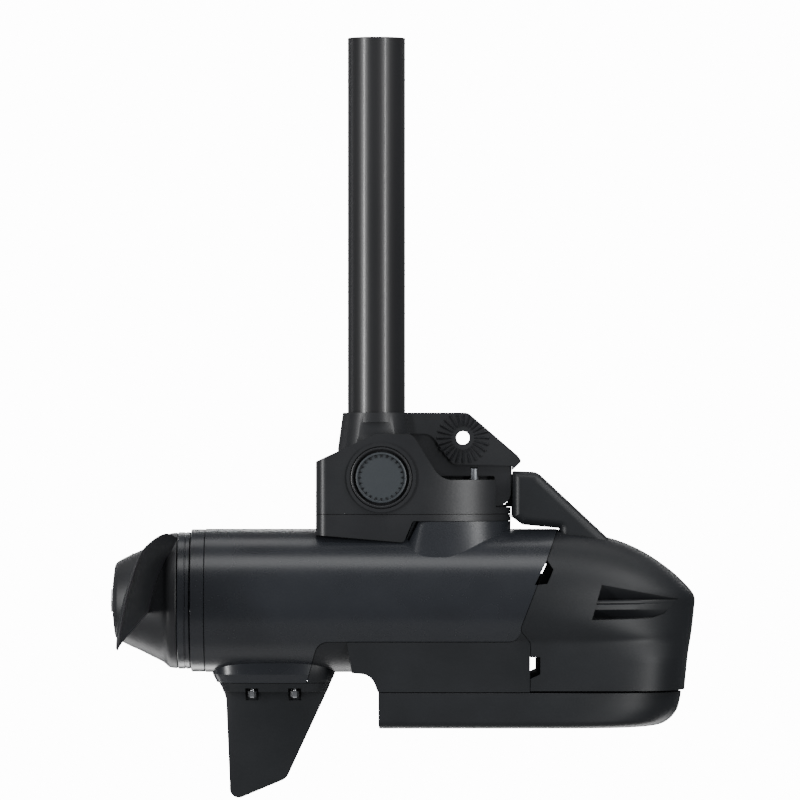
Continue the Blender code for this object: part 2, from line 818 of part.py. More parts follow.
def fin_loop(z, count=20):
    """The fin's section: a thin foil that thins towards its foot."""
    share = (-431.0 - z) / 73.0
    half = 6.5 - 4.2 * share
    back, front = -104.0, -20.0
    loop = []
    for k in range(count):
        angle = 2 * math.pi * (k + 0.5) / count
        c, s = math.cos(angle), math.sin(angle)
        x = (back + front) / 2 + (front - back) / 2 * c
        loop.append((x, half * math.copysign(abs(s) ** 0.7, s), z))
    return loop


# ---------------------------------------------------------------------- inside the motor

ROTOR = (-50.0, 30.0)
SHAFT = (-168.5, 74.0)
MOTOR_SHAFT_R = 6.0


def ring(name, outer, inner, low, high, finish, steps=28):
    profile = [(outer, high), (outer, low), (inner, low), (inner, high)]
    return part(turned(profile, X_AXIS, (0, 0, AXIS_Z), steps), name, finish)


def make_motor_core():
    stator = cylinder(MOTOR_BORE - GAP, *ROTOR, X_AXIS, (0, 0, AXIS_Z), 48)
    cut(stator, cylinder(33.5, -60, 40, X_AXIS, (0, 0, AXIS_Z), 48))
    for k in range(6):
        spin = Matrix.Translation((0, 0, AXIS_Z * MM)) @ Matrix.Rotation(k * math.pi / 3, 4, "X")
        tooth = box((ROTOR[0] + 0.5, -4, 25), (ROTOR[1] - 0.5, 4, 36))
        tooth.data.transform(spin)
        join(stator, tooth)
        coil = bevel(box((ROTOR[0] - 5, -9, 25.6), (ROTOR[1] + 5, 9, 32.0)), 1.5, 1)
        hole = box((ROTOR[0] + 0.1, -4.4, 20), (ROTOR[1] - 0.1, 4.4, 40))
        coil.data.transform(spin)
        hole.data.transform(spin)
        part(cut(coil, hole), f"stator_coil_{k + 1}", "copper")
    part(stator, "stator_core", "iron")


def make_rotor():
    shaft = cylinder(MOTOR_SHAFT_R, *SHAFT, X_AXIS, (0, 0, AXIS_Z), 24)
    cut(shaft, cylinder(2.2, -20, 20, Y_AXIS, (DRIVE_PIN_X, 0, AXIS_Z), 14))
    part(shaft, "motor_shaft", "steel")
    ring("rotor_core", 20.0, MOTOR_SHAFT_R + GAP, *ROTOR, "iron", 32)
    for k in range(4):
        sector = [(20.3 * math.cos(a), 20.3 * math.sin(a)) for a in arc(-38, 38, 8)]
        sector += [(24.2 * math.cos(a), 24.2 * math.sin(a)) for a in arc(38, -38, 8)]
        magnet = prism(sector, *ROTOR, "Z")
        spin = Matrix.Rotation(k * math.pi / 2 + math.pi / 4, 4, "Z")
        centre = Matrix.Translation((0, 0, AXIS_Z * MM))
        magnet.matrix_world = centre @ X_AXIS @ spin @ magnet.matrix_world
        part(magnet, f"rotor_magnet_{k + 1}", "iron")


def make_end_parts():
    cap = turned(
        [
            (47.2, MOTOR_BACK - GAP),
            (47.2, -122.6),
            (16.0, -122.6),
            (16.0, -112.0),
            (13.3, -112.0),
            (13.3, -97.0),
            (20.0, -97.0),
            (22.0, -108.0),
            (36.0, -108.0),
            (36.0, -104.0),
            (MOTOR_BORE - GAP, -104.0),
            (MOTOR_BORE - GAP, MOTOR_BACK - GAP),
        ],
        X_AXIS,
        (0, 0, AXIS_Z),
        40,
    )
    part(cap, "rear_end_cap", "shell")
    ring("tail_ring", 45.3, 17.0, -131.2, -123.0, "shell", 40)
    ring("shaft_seal", 15.7, MOTOR_SHAFT_R + 0.1, -122.4, -115.0, "rubber", 24)
    ring("rear_bearing", 13.0, MOTOR_SHAFT_R + 0.06, -111.5, -101.5, "steel", 24)
    bell = turned(
        [
            (0, BELL_X + 5),
            (MOTOR_BORE - GAP, BELL_X + 5),
            (MOTOR_BORE - GAP, BELL_X - 6),
            (36.0, BELL_X - 6),
            (36.0, BELL_X),
            (20.0, BELL_X),
            (18.0, BELL_X - 12),
            (13.3, BELL_X - 12),
            (13.3, BELL_X + 1),
            (0, BELL_X + 1),
        ],
        X_AXIS,
        (0, 0, AXIS_Z),
        40,
    )
    part(bell, "front_end_bell", "casting")
    ring("front_bearing", 13.0, MOTOR_SHAFT_R + 0.06, BELL_X - 11.5, BELL_X - 2.5, "steel", 24)
    board = cylinder(34.0, 84.0, 85.8, X_AXIS, (0, 0, AXIS_Z), 40)
    part(board, "controller_board", "board")


# ------------------------------------------------------------------------- propeller

DRIVE_PIN_X = -136.5
HUB = [
    (0, -131.7),
    (45.0, -131.7),
    (45.0, -133.0),
    (44.2, -137.0),
    (40.8, -141.2),
    (36.2, -150.3),
    (32.9, -156.9),
    (30.0, -163.4),
    (26.5, -170.0),
    (24.2, -172.6),
    (21.8, -173.5),
    (12.0, -174.8),
    (0, -175.3),
]
# Blade stations: distance from the hub's axis, leading edge and trailing edge (x, z).
BLADE = [
    (30.0, (-131.5, -330.5), (-150.0, -379.0)),
    (46.0, (-137.4, -327.5), (-151.5, -381.0)),
    (66.0, (-145.0, -331.0), (-154.0, -384.0)),
    (86.0, (-152.8, -339.3), (-157.5, -388.5)),
    (104.0, (-157.8, -354.0), (-161.3, -393.0)),
    (117.0, (-161.8, -369.5), (-164.1, -397.0)),
    (124.5, (-164.7, -387.0), (-165.8, -399.8)),
    (126.8, (-166.0, -397.6), (-166.4, -401.2)),
]


def blade_loop(radius, lead, trail, count=7):
    """A thin curved section at one distance from the axis."""
    lead, trail = Vector(lead), Vector(trail)
    chord = trail - lead
    across = Vector((chord.y, -chord.x)).normalized()
    thick = 1.1 + 2.2 * (PROP_R - radius) / PROP_R
    camber = 0.07 * chord.length
    face, back = [], []
    for k in range(count):
        share = k / (count - 1)
        bow = math.sin(math.pi * share)
        middle = lead + chord * share + across * camber * bow
        half = across * thick * (0.25 + 0.75 * bow)
        face.append(middle + half)
        back.append(middle - half)
    points = face + back[::-1]
    return [(p.x, -radius, p.y) for p in points]


def make_propeller():
    hub = turned(HUB, X_AXIS, (0, 0, AXIS_Z), 40)
    half_turn = Matrix.Translation((0, 0, AXIS_Z * MM)) @ FLIP
    half_turn = half_turn @ Matrix.Translation((0, 0, -AXIS_Z * MM))
    for turn in (Z_AXIS, half_turn):
        blade = loft([blade_loop(*station) for station in BLADE])
        blade.data.transform(turn)
        join(hub, blade)
    room = cylinder(MOTOR_SHAFT_R + GAP, -180, -100, X_AXIS, (0, 0, AXIS_Z), 24)
    nut_room = cylinder(10.0, -180, -164.0, X_AXIS, (0, 0, AXIS_Z), 32)
    slot = box((DRIVE_PIN_X - 2.4, -14.5, AXIS_Z - 2.4), (-120, 14.5, AXIS_Z + 2.4))
    cut(hub, room, nut_room, slot)
    part(hub, "propeller", "blade")
    pin = cylinder(2.0, -14.0, 14.0, Y_AXIS, (DRIVE_PIN_X, 0, AXIS_Z), 14)
    part(pin, "drive_pin", "steel")
    ring("prop_washer", 9.6, MOTOR_SHAFT_R + GAP, -165.8, -164.3, "steel", 24)
    nut = cylinder(8.6, -175.8, -166.1, X_AXIS, (0, 0, AXIS_Z), 6)
    cut(nut, cylinder(MOTOR_SHAFT_R + 0.1, -169.0, -160, X_AXIS, (0, 0, AXIS_Z), 24))
    part(nut, "prop_nut", "steel")


SHAFT_PARTS = (
    "shaft_tube",
    "shaft_lock_pin",
    "power_cable",
    "cable_grommet",
    "upper_bracket",
    "stop_screw",
    "pivot_bush_near",
    "pivot_bush_far",
)
PROPELLER_PARTS = (
    "propeller",
    "drive_pin",
    "prop_washer",
    "prop_nut",
    "motor_shaft",
    "rotor_core",
    "rotor_magnet_1",
    "rotor_magnet_2",
    "rotor_magnet_3",
    "rotor_magnet_4",
)


def hang_on_joints():
    """Parents each moving part to an empty on the axis that it turns about."""
    tilt = pivot_empty("tilt_axis", (PIVOT_X, 0, PIVOT_Z))
    spin = pivot_empty("spin_axis", (SPIN_X, 0, AXIS_Z))
    move_to(tilt, spin)
    for item in list(PARTS.objects):
        if item.type == "MESH" and item.name not in SHAFT_PARTS:
            move_to(spin if item.name in PROPELLER_PARTS else tilt, item)


def main():
    make_shaft()
    make_upper_bracket()
    make_stop_screw()
    make_bushes()
    make_bracket_housing()
    make_bracket_base()
    make_bracket_screws()
    make_pivot_parts()
    make_motor_housing()
    make_belly_cover()
    make_nose_cone()
    make_sonar_cover()
    make_skeg()
    make_motor_core()
    make_rotor()
    make_end_parts()
    make_propeller()
    hang_on_joints()


main()
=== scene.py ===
import json
import math

import bmesh
import bpy
from mathutils import Matrix, Vector


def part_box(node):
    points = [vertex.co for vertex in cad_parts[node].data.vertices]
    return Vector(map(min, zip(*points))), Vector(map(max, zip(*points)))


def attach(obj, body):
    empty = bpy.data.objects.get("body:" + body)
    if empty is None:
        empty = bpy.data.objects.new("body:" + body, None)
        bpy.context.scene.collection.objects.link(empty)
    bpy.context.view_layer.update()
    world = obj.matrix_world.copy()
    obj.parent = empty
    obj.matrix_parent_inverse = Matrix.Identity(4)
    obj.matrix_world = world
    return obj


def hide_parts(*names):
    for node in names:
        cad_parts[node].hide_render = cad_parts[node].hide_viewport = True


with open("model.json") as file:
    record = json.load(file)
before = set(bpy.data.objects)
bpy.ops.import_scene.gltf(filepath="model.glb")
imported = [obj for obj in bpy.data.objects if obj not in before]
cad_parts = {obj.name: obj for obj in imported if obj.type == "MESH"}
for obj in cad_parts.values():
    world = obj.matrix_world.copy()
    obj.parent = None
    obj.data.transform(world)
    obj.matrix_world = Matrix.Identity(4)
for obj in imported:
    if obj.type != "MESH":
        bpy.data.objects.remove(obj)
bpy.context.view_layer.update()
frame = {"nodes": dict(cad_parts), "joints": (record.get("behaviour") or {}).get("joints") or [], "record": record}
mm = 0.001

# driving places, read from the frame, in millimetres
joints = {joint["name"]: joint for joint in frame["joints"]}
pivotX, _, pivotZ = [v / mm for v in joints["lower_unit_tilt"]["pos_m"]]
axisZ = joints["propeller_spin"]["pos_m"][2] / mm


def nodeBox(name):
    low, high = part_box(name)
    return [v / mm for v in low], [v / mm for v in high]


def linked(name, data):
    made = bpy.data.objects.new(name, data)
    bpy.context.scene.collection.objects.link(made)
    return made


# shaders written as sums: a socket that adds, multiplies and compares


class Field:
    def __init__(self, maker, socket):
        self.maker = maker
        self.socket = socket

    def math(self, operation, *others):
        return self.maker.node("ShaderNodeMath", {"operation": operation}, self, *others)

    def __add__(self, other):
        return self.math("ADD", other)

    def __mul__(self, other):
        return self.math("MULTIPLY", other)

    def __sub__(self, other):
        return self.math("SUBTRACT", other)

    def __rsub__(self, other):
        return self.maker.node("ShaderNodeMath", {"operation": "SUBTRACT"}, other, self)

    __radd__ = __add__
    __rmul__ = __mul__

    def above(self, level, soft):
        # 0 below the level, 1 above it, with a soft step
        return (self - (level - soft / 2)).math("MULTIPLY", 1 / soft).clamp()

    def clamp(self):
        return self.maker.node("ShaderNodeClamp", {}, self)


class Finish:
    # a material and the nodes in it

    def __init__(self, name):
        self.material = bpy.data.materials.new(name)
        self.material.use_nodes = True
        self.tree = self.material.node_tree
        self.shader = self.tree.nodes["Principled BSDF"]
        coordinates = self.tree.nodes.new("ShaderNodeTexCoord")
        self.place = Field(self, coordinates.outputs["Object"])

    def node(self, kind, settings, *values, out=0, **named):
        made = self.tree.nodes.new(kind)
        for key, value in settings.items():
            if key == "stops":
                ramp = made.color_ramp.elements
                for stop, (at, colour) in zip(ramp, value):
                    stop.position = at
                    stop.color = (*colour, 1)
            else:
                setattr(made, key, value)
        sockets = list(zip(made.inputs, values))
        sockets += [(made.inputs[key.replace("_", " ")], value) for key, value in named.items()]
        for socket, value in sockets:
            self.feed(socket, value)
        return Field(self, made.outputs[out])

    def feed(self, socket, value):
        if isinstance(value, Field):
            self.tree.links.new(value.socket, socket)
        elif value is not None:
            socket.default_value = value

    def stretched(self, scale):
        return self.node("ShaderNodeMapping", {}, self.place, Scale=scale)

    def noise(self, scale, detail=2.0, rough=0.5, at=None):
        place = at or self.place
        return self.node(
            "ShaderNodeTexNoise", {}, Vector=place, Scale=scale, Detail=detail, Roughness=rough
        )

    def blend(self, share, first, second):
        mixed = self.node("ShaderNodeMix", {"data_type": "RGBA"}, out=2)
        mix = mixed.socket.node
        self.feed(mix.inputs[0], share)
        for socket, colour in ((mix.inputs[6], first), (mix.inputs[7], second)):
            self.feed(socket, (*colour, 1) if isinstance(colour, tuple) else colour)
        return mixed

    def bumps(self, height, depth, strength=1.0):
        bump = self.node("ShaderNodeBump", {}, Height=height, Distance=depth, Strength=strength)
        self.feed(self.shader.inputs["Normal"], bump)

    def set(self, **inputs):
        for key, value in inputs.items():
            self.feed(self.shader.inputs[key.replace("_", " ")], value)
        return self.material


def satinPaint(name, dark, pale, rough, grainSize, grainDepth, coat=0.0, gloss=0.5):
    # black paint or moulding: cloudy sheen, fine grain and a few handling marks
    finish = Finish(name)
    clouds = finish.noise(28.0, 3.0)
    grain = finish.noise(1000.0 / grainSize, 2.0, 0.6)
    specks = finish.noise(640.0, 1.0).above(0.70, 0.06)
    streaks = finish.noise(90.0, 4.0, 0.6, finish.stretched((0.25, 1.0, 1.0)))
    scuffs = streaks.above(0.62, 0.30) * 0.16 + specks * 0.12
    colour = finish.blend((clouds * 0.8 + scuffs * 0.4).clamp(), dark, pale)
    finish.bumps(grain, grainDepth * mm)
    return finish.set(
        Base_Color=colour,
        Roughness=rough + (clouds - 0.5) * 0.10 + scuffs * 0.06,
        Coat_Weight=coat,
        Coat_Roughness=0.22,
        Specular_IOR_Level=gloss,
    )


def shaftComposite():
    # wound composite tube: fine lengthwise lines under a satin gel coat
    finish = Finish("shaftComposite")
    lines = finish.noise(1500.0, 2.0, 0.6, finish.stretched((1.0, 1.0, 0.012)))
    clouds = finish.noise(14.0, 2.0, 0.5, finish.stretched((1.0, 1.0, 0.3)))
    colour = finish.blend(clouds, (0.011, 0.011, 0.012), (0.020, 0.020, 0.022))
    finish.bumps(lines, 0.02 * mm)
    return finish.set(
        Base_Color=colour, Roughness=0.27 + clouds * 0.10 + lines * 0.04, Coat_Weight=0.15
    )


def stainless():
    finish = Finish("stainlessSteel")
    brushed = finish.noise(2600.0, 2.0, 0.6, finish.stretched((1.0, 1.0, 0.05)))
    stain = finish.noise(260.0, 3.0)
    colour = finish.blend(stain, (0.62, 0.63, 0.65), (0.82, 0.83, 0.85))
    finish.bumps(brushed, 0.012 * mm)
    return finish.set(Base_Color=colour, Metallic=1.0, Roughness=0.17 + brushed * 0.16)


def copperWinding():
    finish = Finish("copperWinding")
    wire = finish.node(
        "ShaderNodeTexWave", {"bands_direction": "Z"}, Vector=finish.place, Scale=220.0
    )
    colour = finish.blend(wire, (0.20, 0.07, 0.03), (0.72, 0.33, 0.16))
    finish.bumps(wire, 0.35 * mm)
    return finish.set(Base_Color=colour, Metallic=0.85, Roughness=0.30 + (1 - wire) * 0.2)


def bareMetal(name, dark, pale, rough, metallic):
    finish = Finish(name)
    cast = finish.noise(420.0, 4.0, 0.6)
    colour = finish.blend(cast, dark, pale)
    finish.bumps(cast, 0.05 * mm)
    return finish.set(Base_Color=colour, Metallic=metallic, Roughness=rough + cast * 0.15)


def circuitBoard():
    finish = Finish("circuitBoard")
    tracks = finish.node(
        "ShaderNodeTexBrick", {}, Vector=finish.place, Scale=90.0, out=1
    ).above(0.5, 0.2)
    colour = finish.blend(tracks, (0.02, 0.14, 0.06), (0.05, 0.26, 0.11))
    finish.bumps(tracks, 0.04 * mm)
    return finish.set(Base_Color=colour, Roughness=0.35 + tracks * 0.1)


finishes = {
    "shaft_black": shaftComposite(),
    "cast_black": satinPaint(
        "castBlack", (0.013, 0.0135, 0.015), (0.024, 0.025, 0.028), 0.36, 0.55, 0.035, 0, 0.40
    ),
    "motor_black": satinPaint(
        "motorBlack", (0.014, 0.0155, 0.019), (0.023, 0.0255, 0.031), 0.27, 0.8, 0.020, 0.15
    ),
    "cover_black": satinPaint(
        "coverBlack", (0.010, 0.011, 0.0125), (0.018, 0.0195, 0.0225), 0.42, 0.42, 0.030, 0, 0.30
    ),
    "cap_black": satinPaint(
        "capGrey", (0.028, 0.033, 0.038), (0.044, 0.050, 0.056), 0.40, 0.40, 0.030
    ),
    "blade_black": satinPaint(
        "bladeBlack", (0.010, 0.0105, 0.012), (0.018, 0.019, 0.022), 0.44, 0.50, 0.030
    ),
    "stainless": stainless(),
    "bronze": bareMetal("bearingBronze", (0.35, 0.23, 0.10), (0.62, 0.44, 0.22), 0.32, 1.0),
    "core_iron": bareMetal("coreIron", (0.16, 0.17, 0.19), (0.30, 0.31, 0.33), 0.40, 0.9),
    "copper_winding": copperWinding(),
    "rubber": bareMetal("sealRubber", (0.012, 0.012, 0.012), (0.024, 0.024, 0.024), 0.65, 0.0),
    "circuit_board": circuitBoard(),
    "sonar_ceramic": bareMetal("sonarCeramic", (0.50, 0.48, 0.44), (0.66, 0.64, 0.58), 0.45, 0.0),
}
nodeSlots = {part["node"]: part["material_slot"] for part in frame["record"]["subparts"]}
for name, node in frame["nodes"].items():
    node.data.materials.clear()
    node.data.materials.append(finishes[nodeSlots[name]])
print("materials made:", len(finishes))


# shapes


along = {
    "X": Matrix.Rotation(math.pi / 2, 4, "Y"),
    "Y": Matrix.Rotation(-math.pi / 2, 4, "X"),
    "Z": Matrix.Identity(4),
}
flip = Matrix.Rotation(math.pi, 4, "X")


def place(centre, turn):
    return Matrix.Translation(Vector(centre) * mm) @ turn


def sideTurn(out):
    return along["Y"] if out > 0 else along["Y"] @ flip


def angles(start, end, steps):
    return [math.radians(start + (end - start) * k / steps) for k in range(steps + 1)]


def newPiece(body, name="shape"):
    bmesh.ops.recalc_face_normals(body, faces=body.faces)
    mesh = bpy.data.meshes.new(name)
    body.to_mesh(mesh)
    body.free()
    return linked(name, mesh)


def rounded(corners, step=7):
    # an outline of (x, y, radius) corners, each radius drawn as an arc
    outline = []
    for i, (x, y, radius) in enumerate(corners):
        here = Vector((x, y))
        if radius == 0:
            outline.append(here)
            continue
        before = (Vector(corners[i - 1][:2]) - here).normalized()
        after = (Vector(corners[(i + 1) % len(corners)][:2]) - here).normalized()
        half = before.angle(after) / 2
        reach = radius / math.tan(half)
        centre = here + (before + after).normalized() * radius / math.sin(half)
        first = here + before * reach - centre
        turn = first.angle_signed(here + after * reach - centre)
        arcs = max(3, round(abs(math.degrees(turn)) / step))
        for k in range(arcs + 1):
            outline.append(centre + Matrix.Rotation(-turn * k / arcs, 2) @ first)
    return outline


def slab(outline, low, high, axis="Y"):
    # a flat outline made solid: (x, z) points along Y, or (x, y) points along Z
    body = bmesh.new()
    if axis == "Y":
        ends = [[(x, level, z) for x, z in outline] for level in (low, high)]
    else:
        ends = [[(x, y, level) for x, y in outline] for level in (low, high)]
    return stack(ends, body)


def stack(loops, body=None):
    # skins a stack of closed loops with equal numbers of points
    body = body or bmesh.new()
    rings = [[body.verts.new(Vector(p) * mm) for p in loop] for loop in loops]
    for lower, upper in zip(rings, rings[1:]):
        for i in range(len(lower)):
            k = (i + 1) % len(lower)
            body.faces.new((lower[i], lower[k], upper[k], upper[i]))
    body.faces.new(rings[0])
    body.faces.new(rings[-1])
    return newPiece(body)


def turned(profile, turn=along["Z"], steps=128):
    # turns a closed profile of (radius, height) points about the axis
    body = bmesh.new()
    rings = []
    for radius, height in profile:
        if radius == 0:
            rings.append([body.verts.new((0, 0, height * mm))])
            continue
        rings.append(
            [
                body.verts.new((radius * mm * math.cos(a), radius * mm * math.sin(a), height * mm))
                for a in angles(0, 360 - 360 / steps, steps - 1)
            ]
        )
    pairs = list(zip(rings, rings[1:]))
    if len(rings[0]) > 1:
        pairs.append((rings[-1], rings[0]))
    for upper, lower in pairs:
        for i in range(steps):
            k = (i + 1) % steps
            corners = [upper[i % len(upper)], upper[k % len(upper)]]
            corners += [lower[k % len(lower)], lower[i % len(lower)]]
            corners = list(dict.fromkeys(corners))
            if len(corners) > 2:
                body.faces.new(corners)
    body.transform(turn)
    return newPiece(body)


def drum(radius, low, high, axis="Z", centre=(0, 0, 0), sides=96):
    disc = [(radius * math.cos(a), radius * math.sin(a)) for a in angles(0, 360, sides)[:-1]]
    piece = slab(disc, low, high, "Z")
    piece.data.transform(place(centre, along[axis]))
    return piece


def pivotDrum(radius, half, sides=96):
    return drum(radius, -half, half, "Y", (pivotX, 0, pivotZ), sides)


def motorDrum(radius, low, high, sides=192):
    return drum(radius, low, high, "X", (0, 0, axisZ), sides)


def brick(low, high):
    corners = [(low[0], low[1]), (high[0], low[1]), (high[0], high[1]), (low[0], high[1])]
    return slab(corners, low[2], high[2], "Z")


# half widths of the ridges and grooves that keep light out of the flat joints
ridgeHalf, grooveHalf = 3, 3.4


def strip(back, front, low, high, half):
    return brick((back, -half, low), (front, half, high))


def settle(piece):
    # turns a piece and its modifiers into a plain mesh
    bpy.context.view_layer.update()
    graph = bpy.context.evaluated_depsgraph_get()
    mesh = bpy.data.meshes.new_from_object(piece.evaluated_get(graph))
    piece.modifiers.clear()
    piece.data = mesh
    return piece


def combine(piece, tools, how):
    for tool in tools:
        step = piece.modifiers.new(how, "BOOLEAN")
        step.operation = how
        step.solver = "EXACT"
        step.object = tool
    settle(piece)
    for tool in tools:
        bpy.data.objects.remove(tool)
    return piece


def cut(piece, *tools):
    return combine(piece, tools, "DIFFERENCE")


def join(piece, *tools):
    return combine(piece, tools, "UNION")


def keep(piece, *tools):
    return combine(piece, tools, "INTERSECT")


def soften(piece, width, segments=3, angle=32):
    # rounds the sharp edges, after the flat faces are made whole again
    body = bmesh.new()
    body.from_mesh(piece.data)
    bmesh.ops.remove_doubles(body, verts=body.verts, dist=0.004 * mm)
    bmesh.ops.dissolve_limit(
        body, angle_limit=math.radians(0.05), verts=body.verts, edges=body.edges
    )
    body.to_mesh(piece.data)
    body.free()
    edge = piece.modifiers.new("edge", "BEVEL")
    edge.width = width * mm
    edge.segments = segments
    edge.limit_method = "ANGLE"
    edge.angle_limit = math.radians(angle)
    edge.harden_normals = True
    edge.use_clamp_overlap = True
    piece.data.shade_smooth()
    return settle(piece)


def hand(piece, name, body, nodes, slotName=None, sharp=None):
    # names a finished piece and ties it to its body, its nodes and its finish
    slotName = slotName or nodeSlots[nodes[0]]
    piece.name = name
    piece.data.name = name
    piece.data.materials.clear()
    piece.data.materials.append(finishes[slotName])
    if sharp:
        if "custom_normal" in piece.data.attributes:
            piece.data.attributes.remove(piece.data.attributes["custom_normal"])
        piece.data.shade_smooth()
        piece.data.set_sharp_from_angle(angle=math.radians(sharp))
        weighted = piece.modifiers.new("even", "WEIGHTED_NORMAL")
        weighted.keep_sharp = True
        settle(piece)
    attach(piece, body)
    if nodes and nodes[0] in frame["nodes"]:
        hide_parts(*nodes)


def curveThrough(points, steps):
    # a smooth line through points of equal length, whose ends are kept
    line = []
    padded = [points[0], *points, points[-1]]
    for a, b, c, d in zip(padded, padded[1:], padded[2:], padded[3:]):
        for k in range(steps):
            t = k / steps
            line.append(
                tuple(
                    0.5 * (2 * q + (r - p) * t + (2 * p - 5 * q + 4 * r - s) * t**2)
                    + 0.5 * (3 * q - p - 3 * r + s) * t**3
                    for p, q, r, s in zip(a, b, c, d)
                )
            )
    return line + [tuple(points[-1])]


# geometry nodes: a tree with named inputs, run on an empty mesh


class Growth:
    def __init__(self, name, inputs):
        self.tree = bpy.data.node_groups.new(name, "GeometryNodeTree")
        face = self.tree.interface
        face.new_socket("Geometry", in_out="OUTPUT", socket_type="NodeSocketGeometry")
        self.sockets = {}
        for key, (kind, value) in inputs.items():
            made = face.new_socket(key, in_out="INPUT", socket_type="NodeSocket" + kind)
            if value is not None:
                made.default_value = value
            self.sockets[key] = made.identifier
        self.entry = self.tree.nodes.new("NodeGroupInput")
        self.exit = self.tree.nodes.new("NodeGroupOutput")

    def ask(self, key):
        return self.entry.outputs[key]

    def node(self, kind, settings=None, **values):
        made = self.tree.nodes.new(kind)
        for key, value in (settings or {}).items():
            setattr(made, key, value)
        for key, value in values.items():
            number = key[1:] if key[0] == "n" and key[1:].isdigit() else None
            socket = made.inputs[int(number) if number else key.replace("_", " ")]
            if isinstance(value, bpy.types.NodeSocket):
                self.tree.links.new(value, socket)
            else:
                socket.default_value = value
        return made.outputs[0]

    def math(self, operation, first, second=0.0):
        return self.node("ShaderNodeMath", {"operation": operation}, n0=first, n1=second)

    def vector(self, x=0.0, y=0.0, z=0.0):
        return self.node("ShaderNodeCombineXYZ", X=x, Y=y, Z=z)

    def finish(self, geometry):
        real = self.node("GeometryNodeRealizeInstances", Geometry=geometry)
        self.tree.links.new(
            self.node("GeometryNodeSetMaterial", Geometry=real, Material=self.ask("Material")),
            self.exit.inputs[0],
        )

    def run(self, name, values, turn=None):
        # the tree's result as a plain mesh object
        piece = linked(name, bpy.data.meshes.new(name))
        step = piece.modifiers.new(name, "NODES")
        step.node_group = self.tree
        for key, value in values.items():
            step[self.sockets[key]] = value
        settle(piece)
        body = bmesh.new()
        body.from_mesh(piece.data)
        bmesh.ops.remove_doubles(body, verts=body.verts, dist=0.002 * mm)
        body.to_mesh(piece.data)
        body.free()
        if turn is not None:
            piece.data.transform(turn)
        return piece


def tubeGrowth():
    # a round tube with eased rims: a rounded strip swept round a circle
    grow = Growth(
        "tubeTree",
        {
            "Outer radius": ("Float", 0.019),
            "Wall": ("Float", 0.003),
            "Length": ("Float", 0.27),
            "Rim easing": ("Float", 0.0006),
            "Material": ("Material", None),
        },
    )
    halfWall = grow.math("MULTIPLY", grow.ask("Wall"), 0.5)
    middle = grow.math("SUBTRACT", grow.ask("Outer radius"), halfWall)
    path = grow.node("GeometryNodeCurvePrimitiveCircle", Resolution=144, Radius=middle)
    wall = grow.node(
        "GeometryNodeCurvePrimitiveQuadrilateral", Width=grow.ask("Wall"), Height=grow.ask("Length")
    )
    eased = grow.node(
        "GeometryNodeFilletCurve",
        {"mode": "POLY"},
        Curve=wall,
        Count=4,
        Radius=grow.ask("Rim easing"),
    )
    swept = grow.node("GeometryNodeCurveToMesh", Curve=path, Profile_Curve=eased)
    grow.finish(swept)
    return grow


def ringGrowth():
    # copies of a ridge set round a circle; each widens with its distance from the middle
    grow = Growth(
        "toothRingTree",
        {
            "Count": ("Int", 24),
            "Radius": ("Float", 0.012),
            "Tooth length": ("Float", 0.009),
            "Tooth width": ("Float", 0.002),
            "Tooth height": ("Float", 0.0005),
            "Material": ("Material", None),
        },
    )
    step = grow.math("DIVIDE", math.tau, grow.ask("Count"))
    angle = grow.math("MULTIPLY", grow.node("GeometryNodeInputIndex"), step)
    spots = grow.node("GeometryNodePoints", Count=grow.ask("Count"))
    prism = grow.node("GeometryNodeMeshCylinder", Vertices=3, Radius=1.0, Depth=1.0)
    lying = grow.node(
        "GeometryNodeTransform", Geometry=prism, Rotation=(0.0, -math.pi / 2, 0.0)
    )
    at = grow.node("GeometryNodeInputPosition")
    apart = grow.tree.nodes.new("ShaderNodeSeparateXYZ")
    grow.tree.links.new(at, apart.inputs[0])
    x, y, z = apart.outputs
    reach = grow.math("ADD", grow.math("MULTIPLY", x, grow.ask("Tooth length")), grow.ask("Radius"))
    widen = grow.math("DIVIDE", reach, grow.ask("Radius"))
    across = grow.math("MULTIPLY", grow.math("MULTIPLY", y, grow.ask("Tooth width")), widen)
    up = grow.math("MULTIPLY", z, grow.ask("Tooth height"))
    tooth = grow.node(
        "GeometryNodeSetPosition", Geometry=lying, Position=grow.vector(reach, across, up)
    )
    placed = grow.node(
        "GeometryNodeInstanceOnPoints",
        Points=spots,
        Instance=tooth,
        Rotation=grow.vector(0.0, 0.0, angle),
    )
    grow.finish(placed)
    return grow


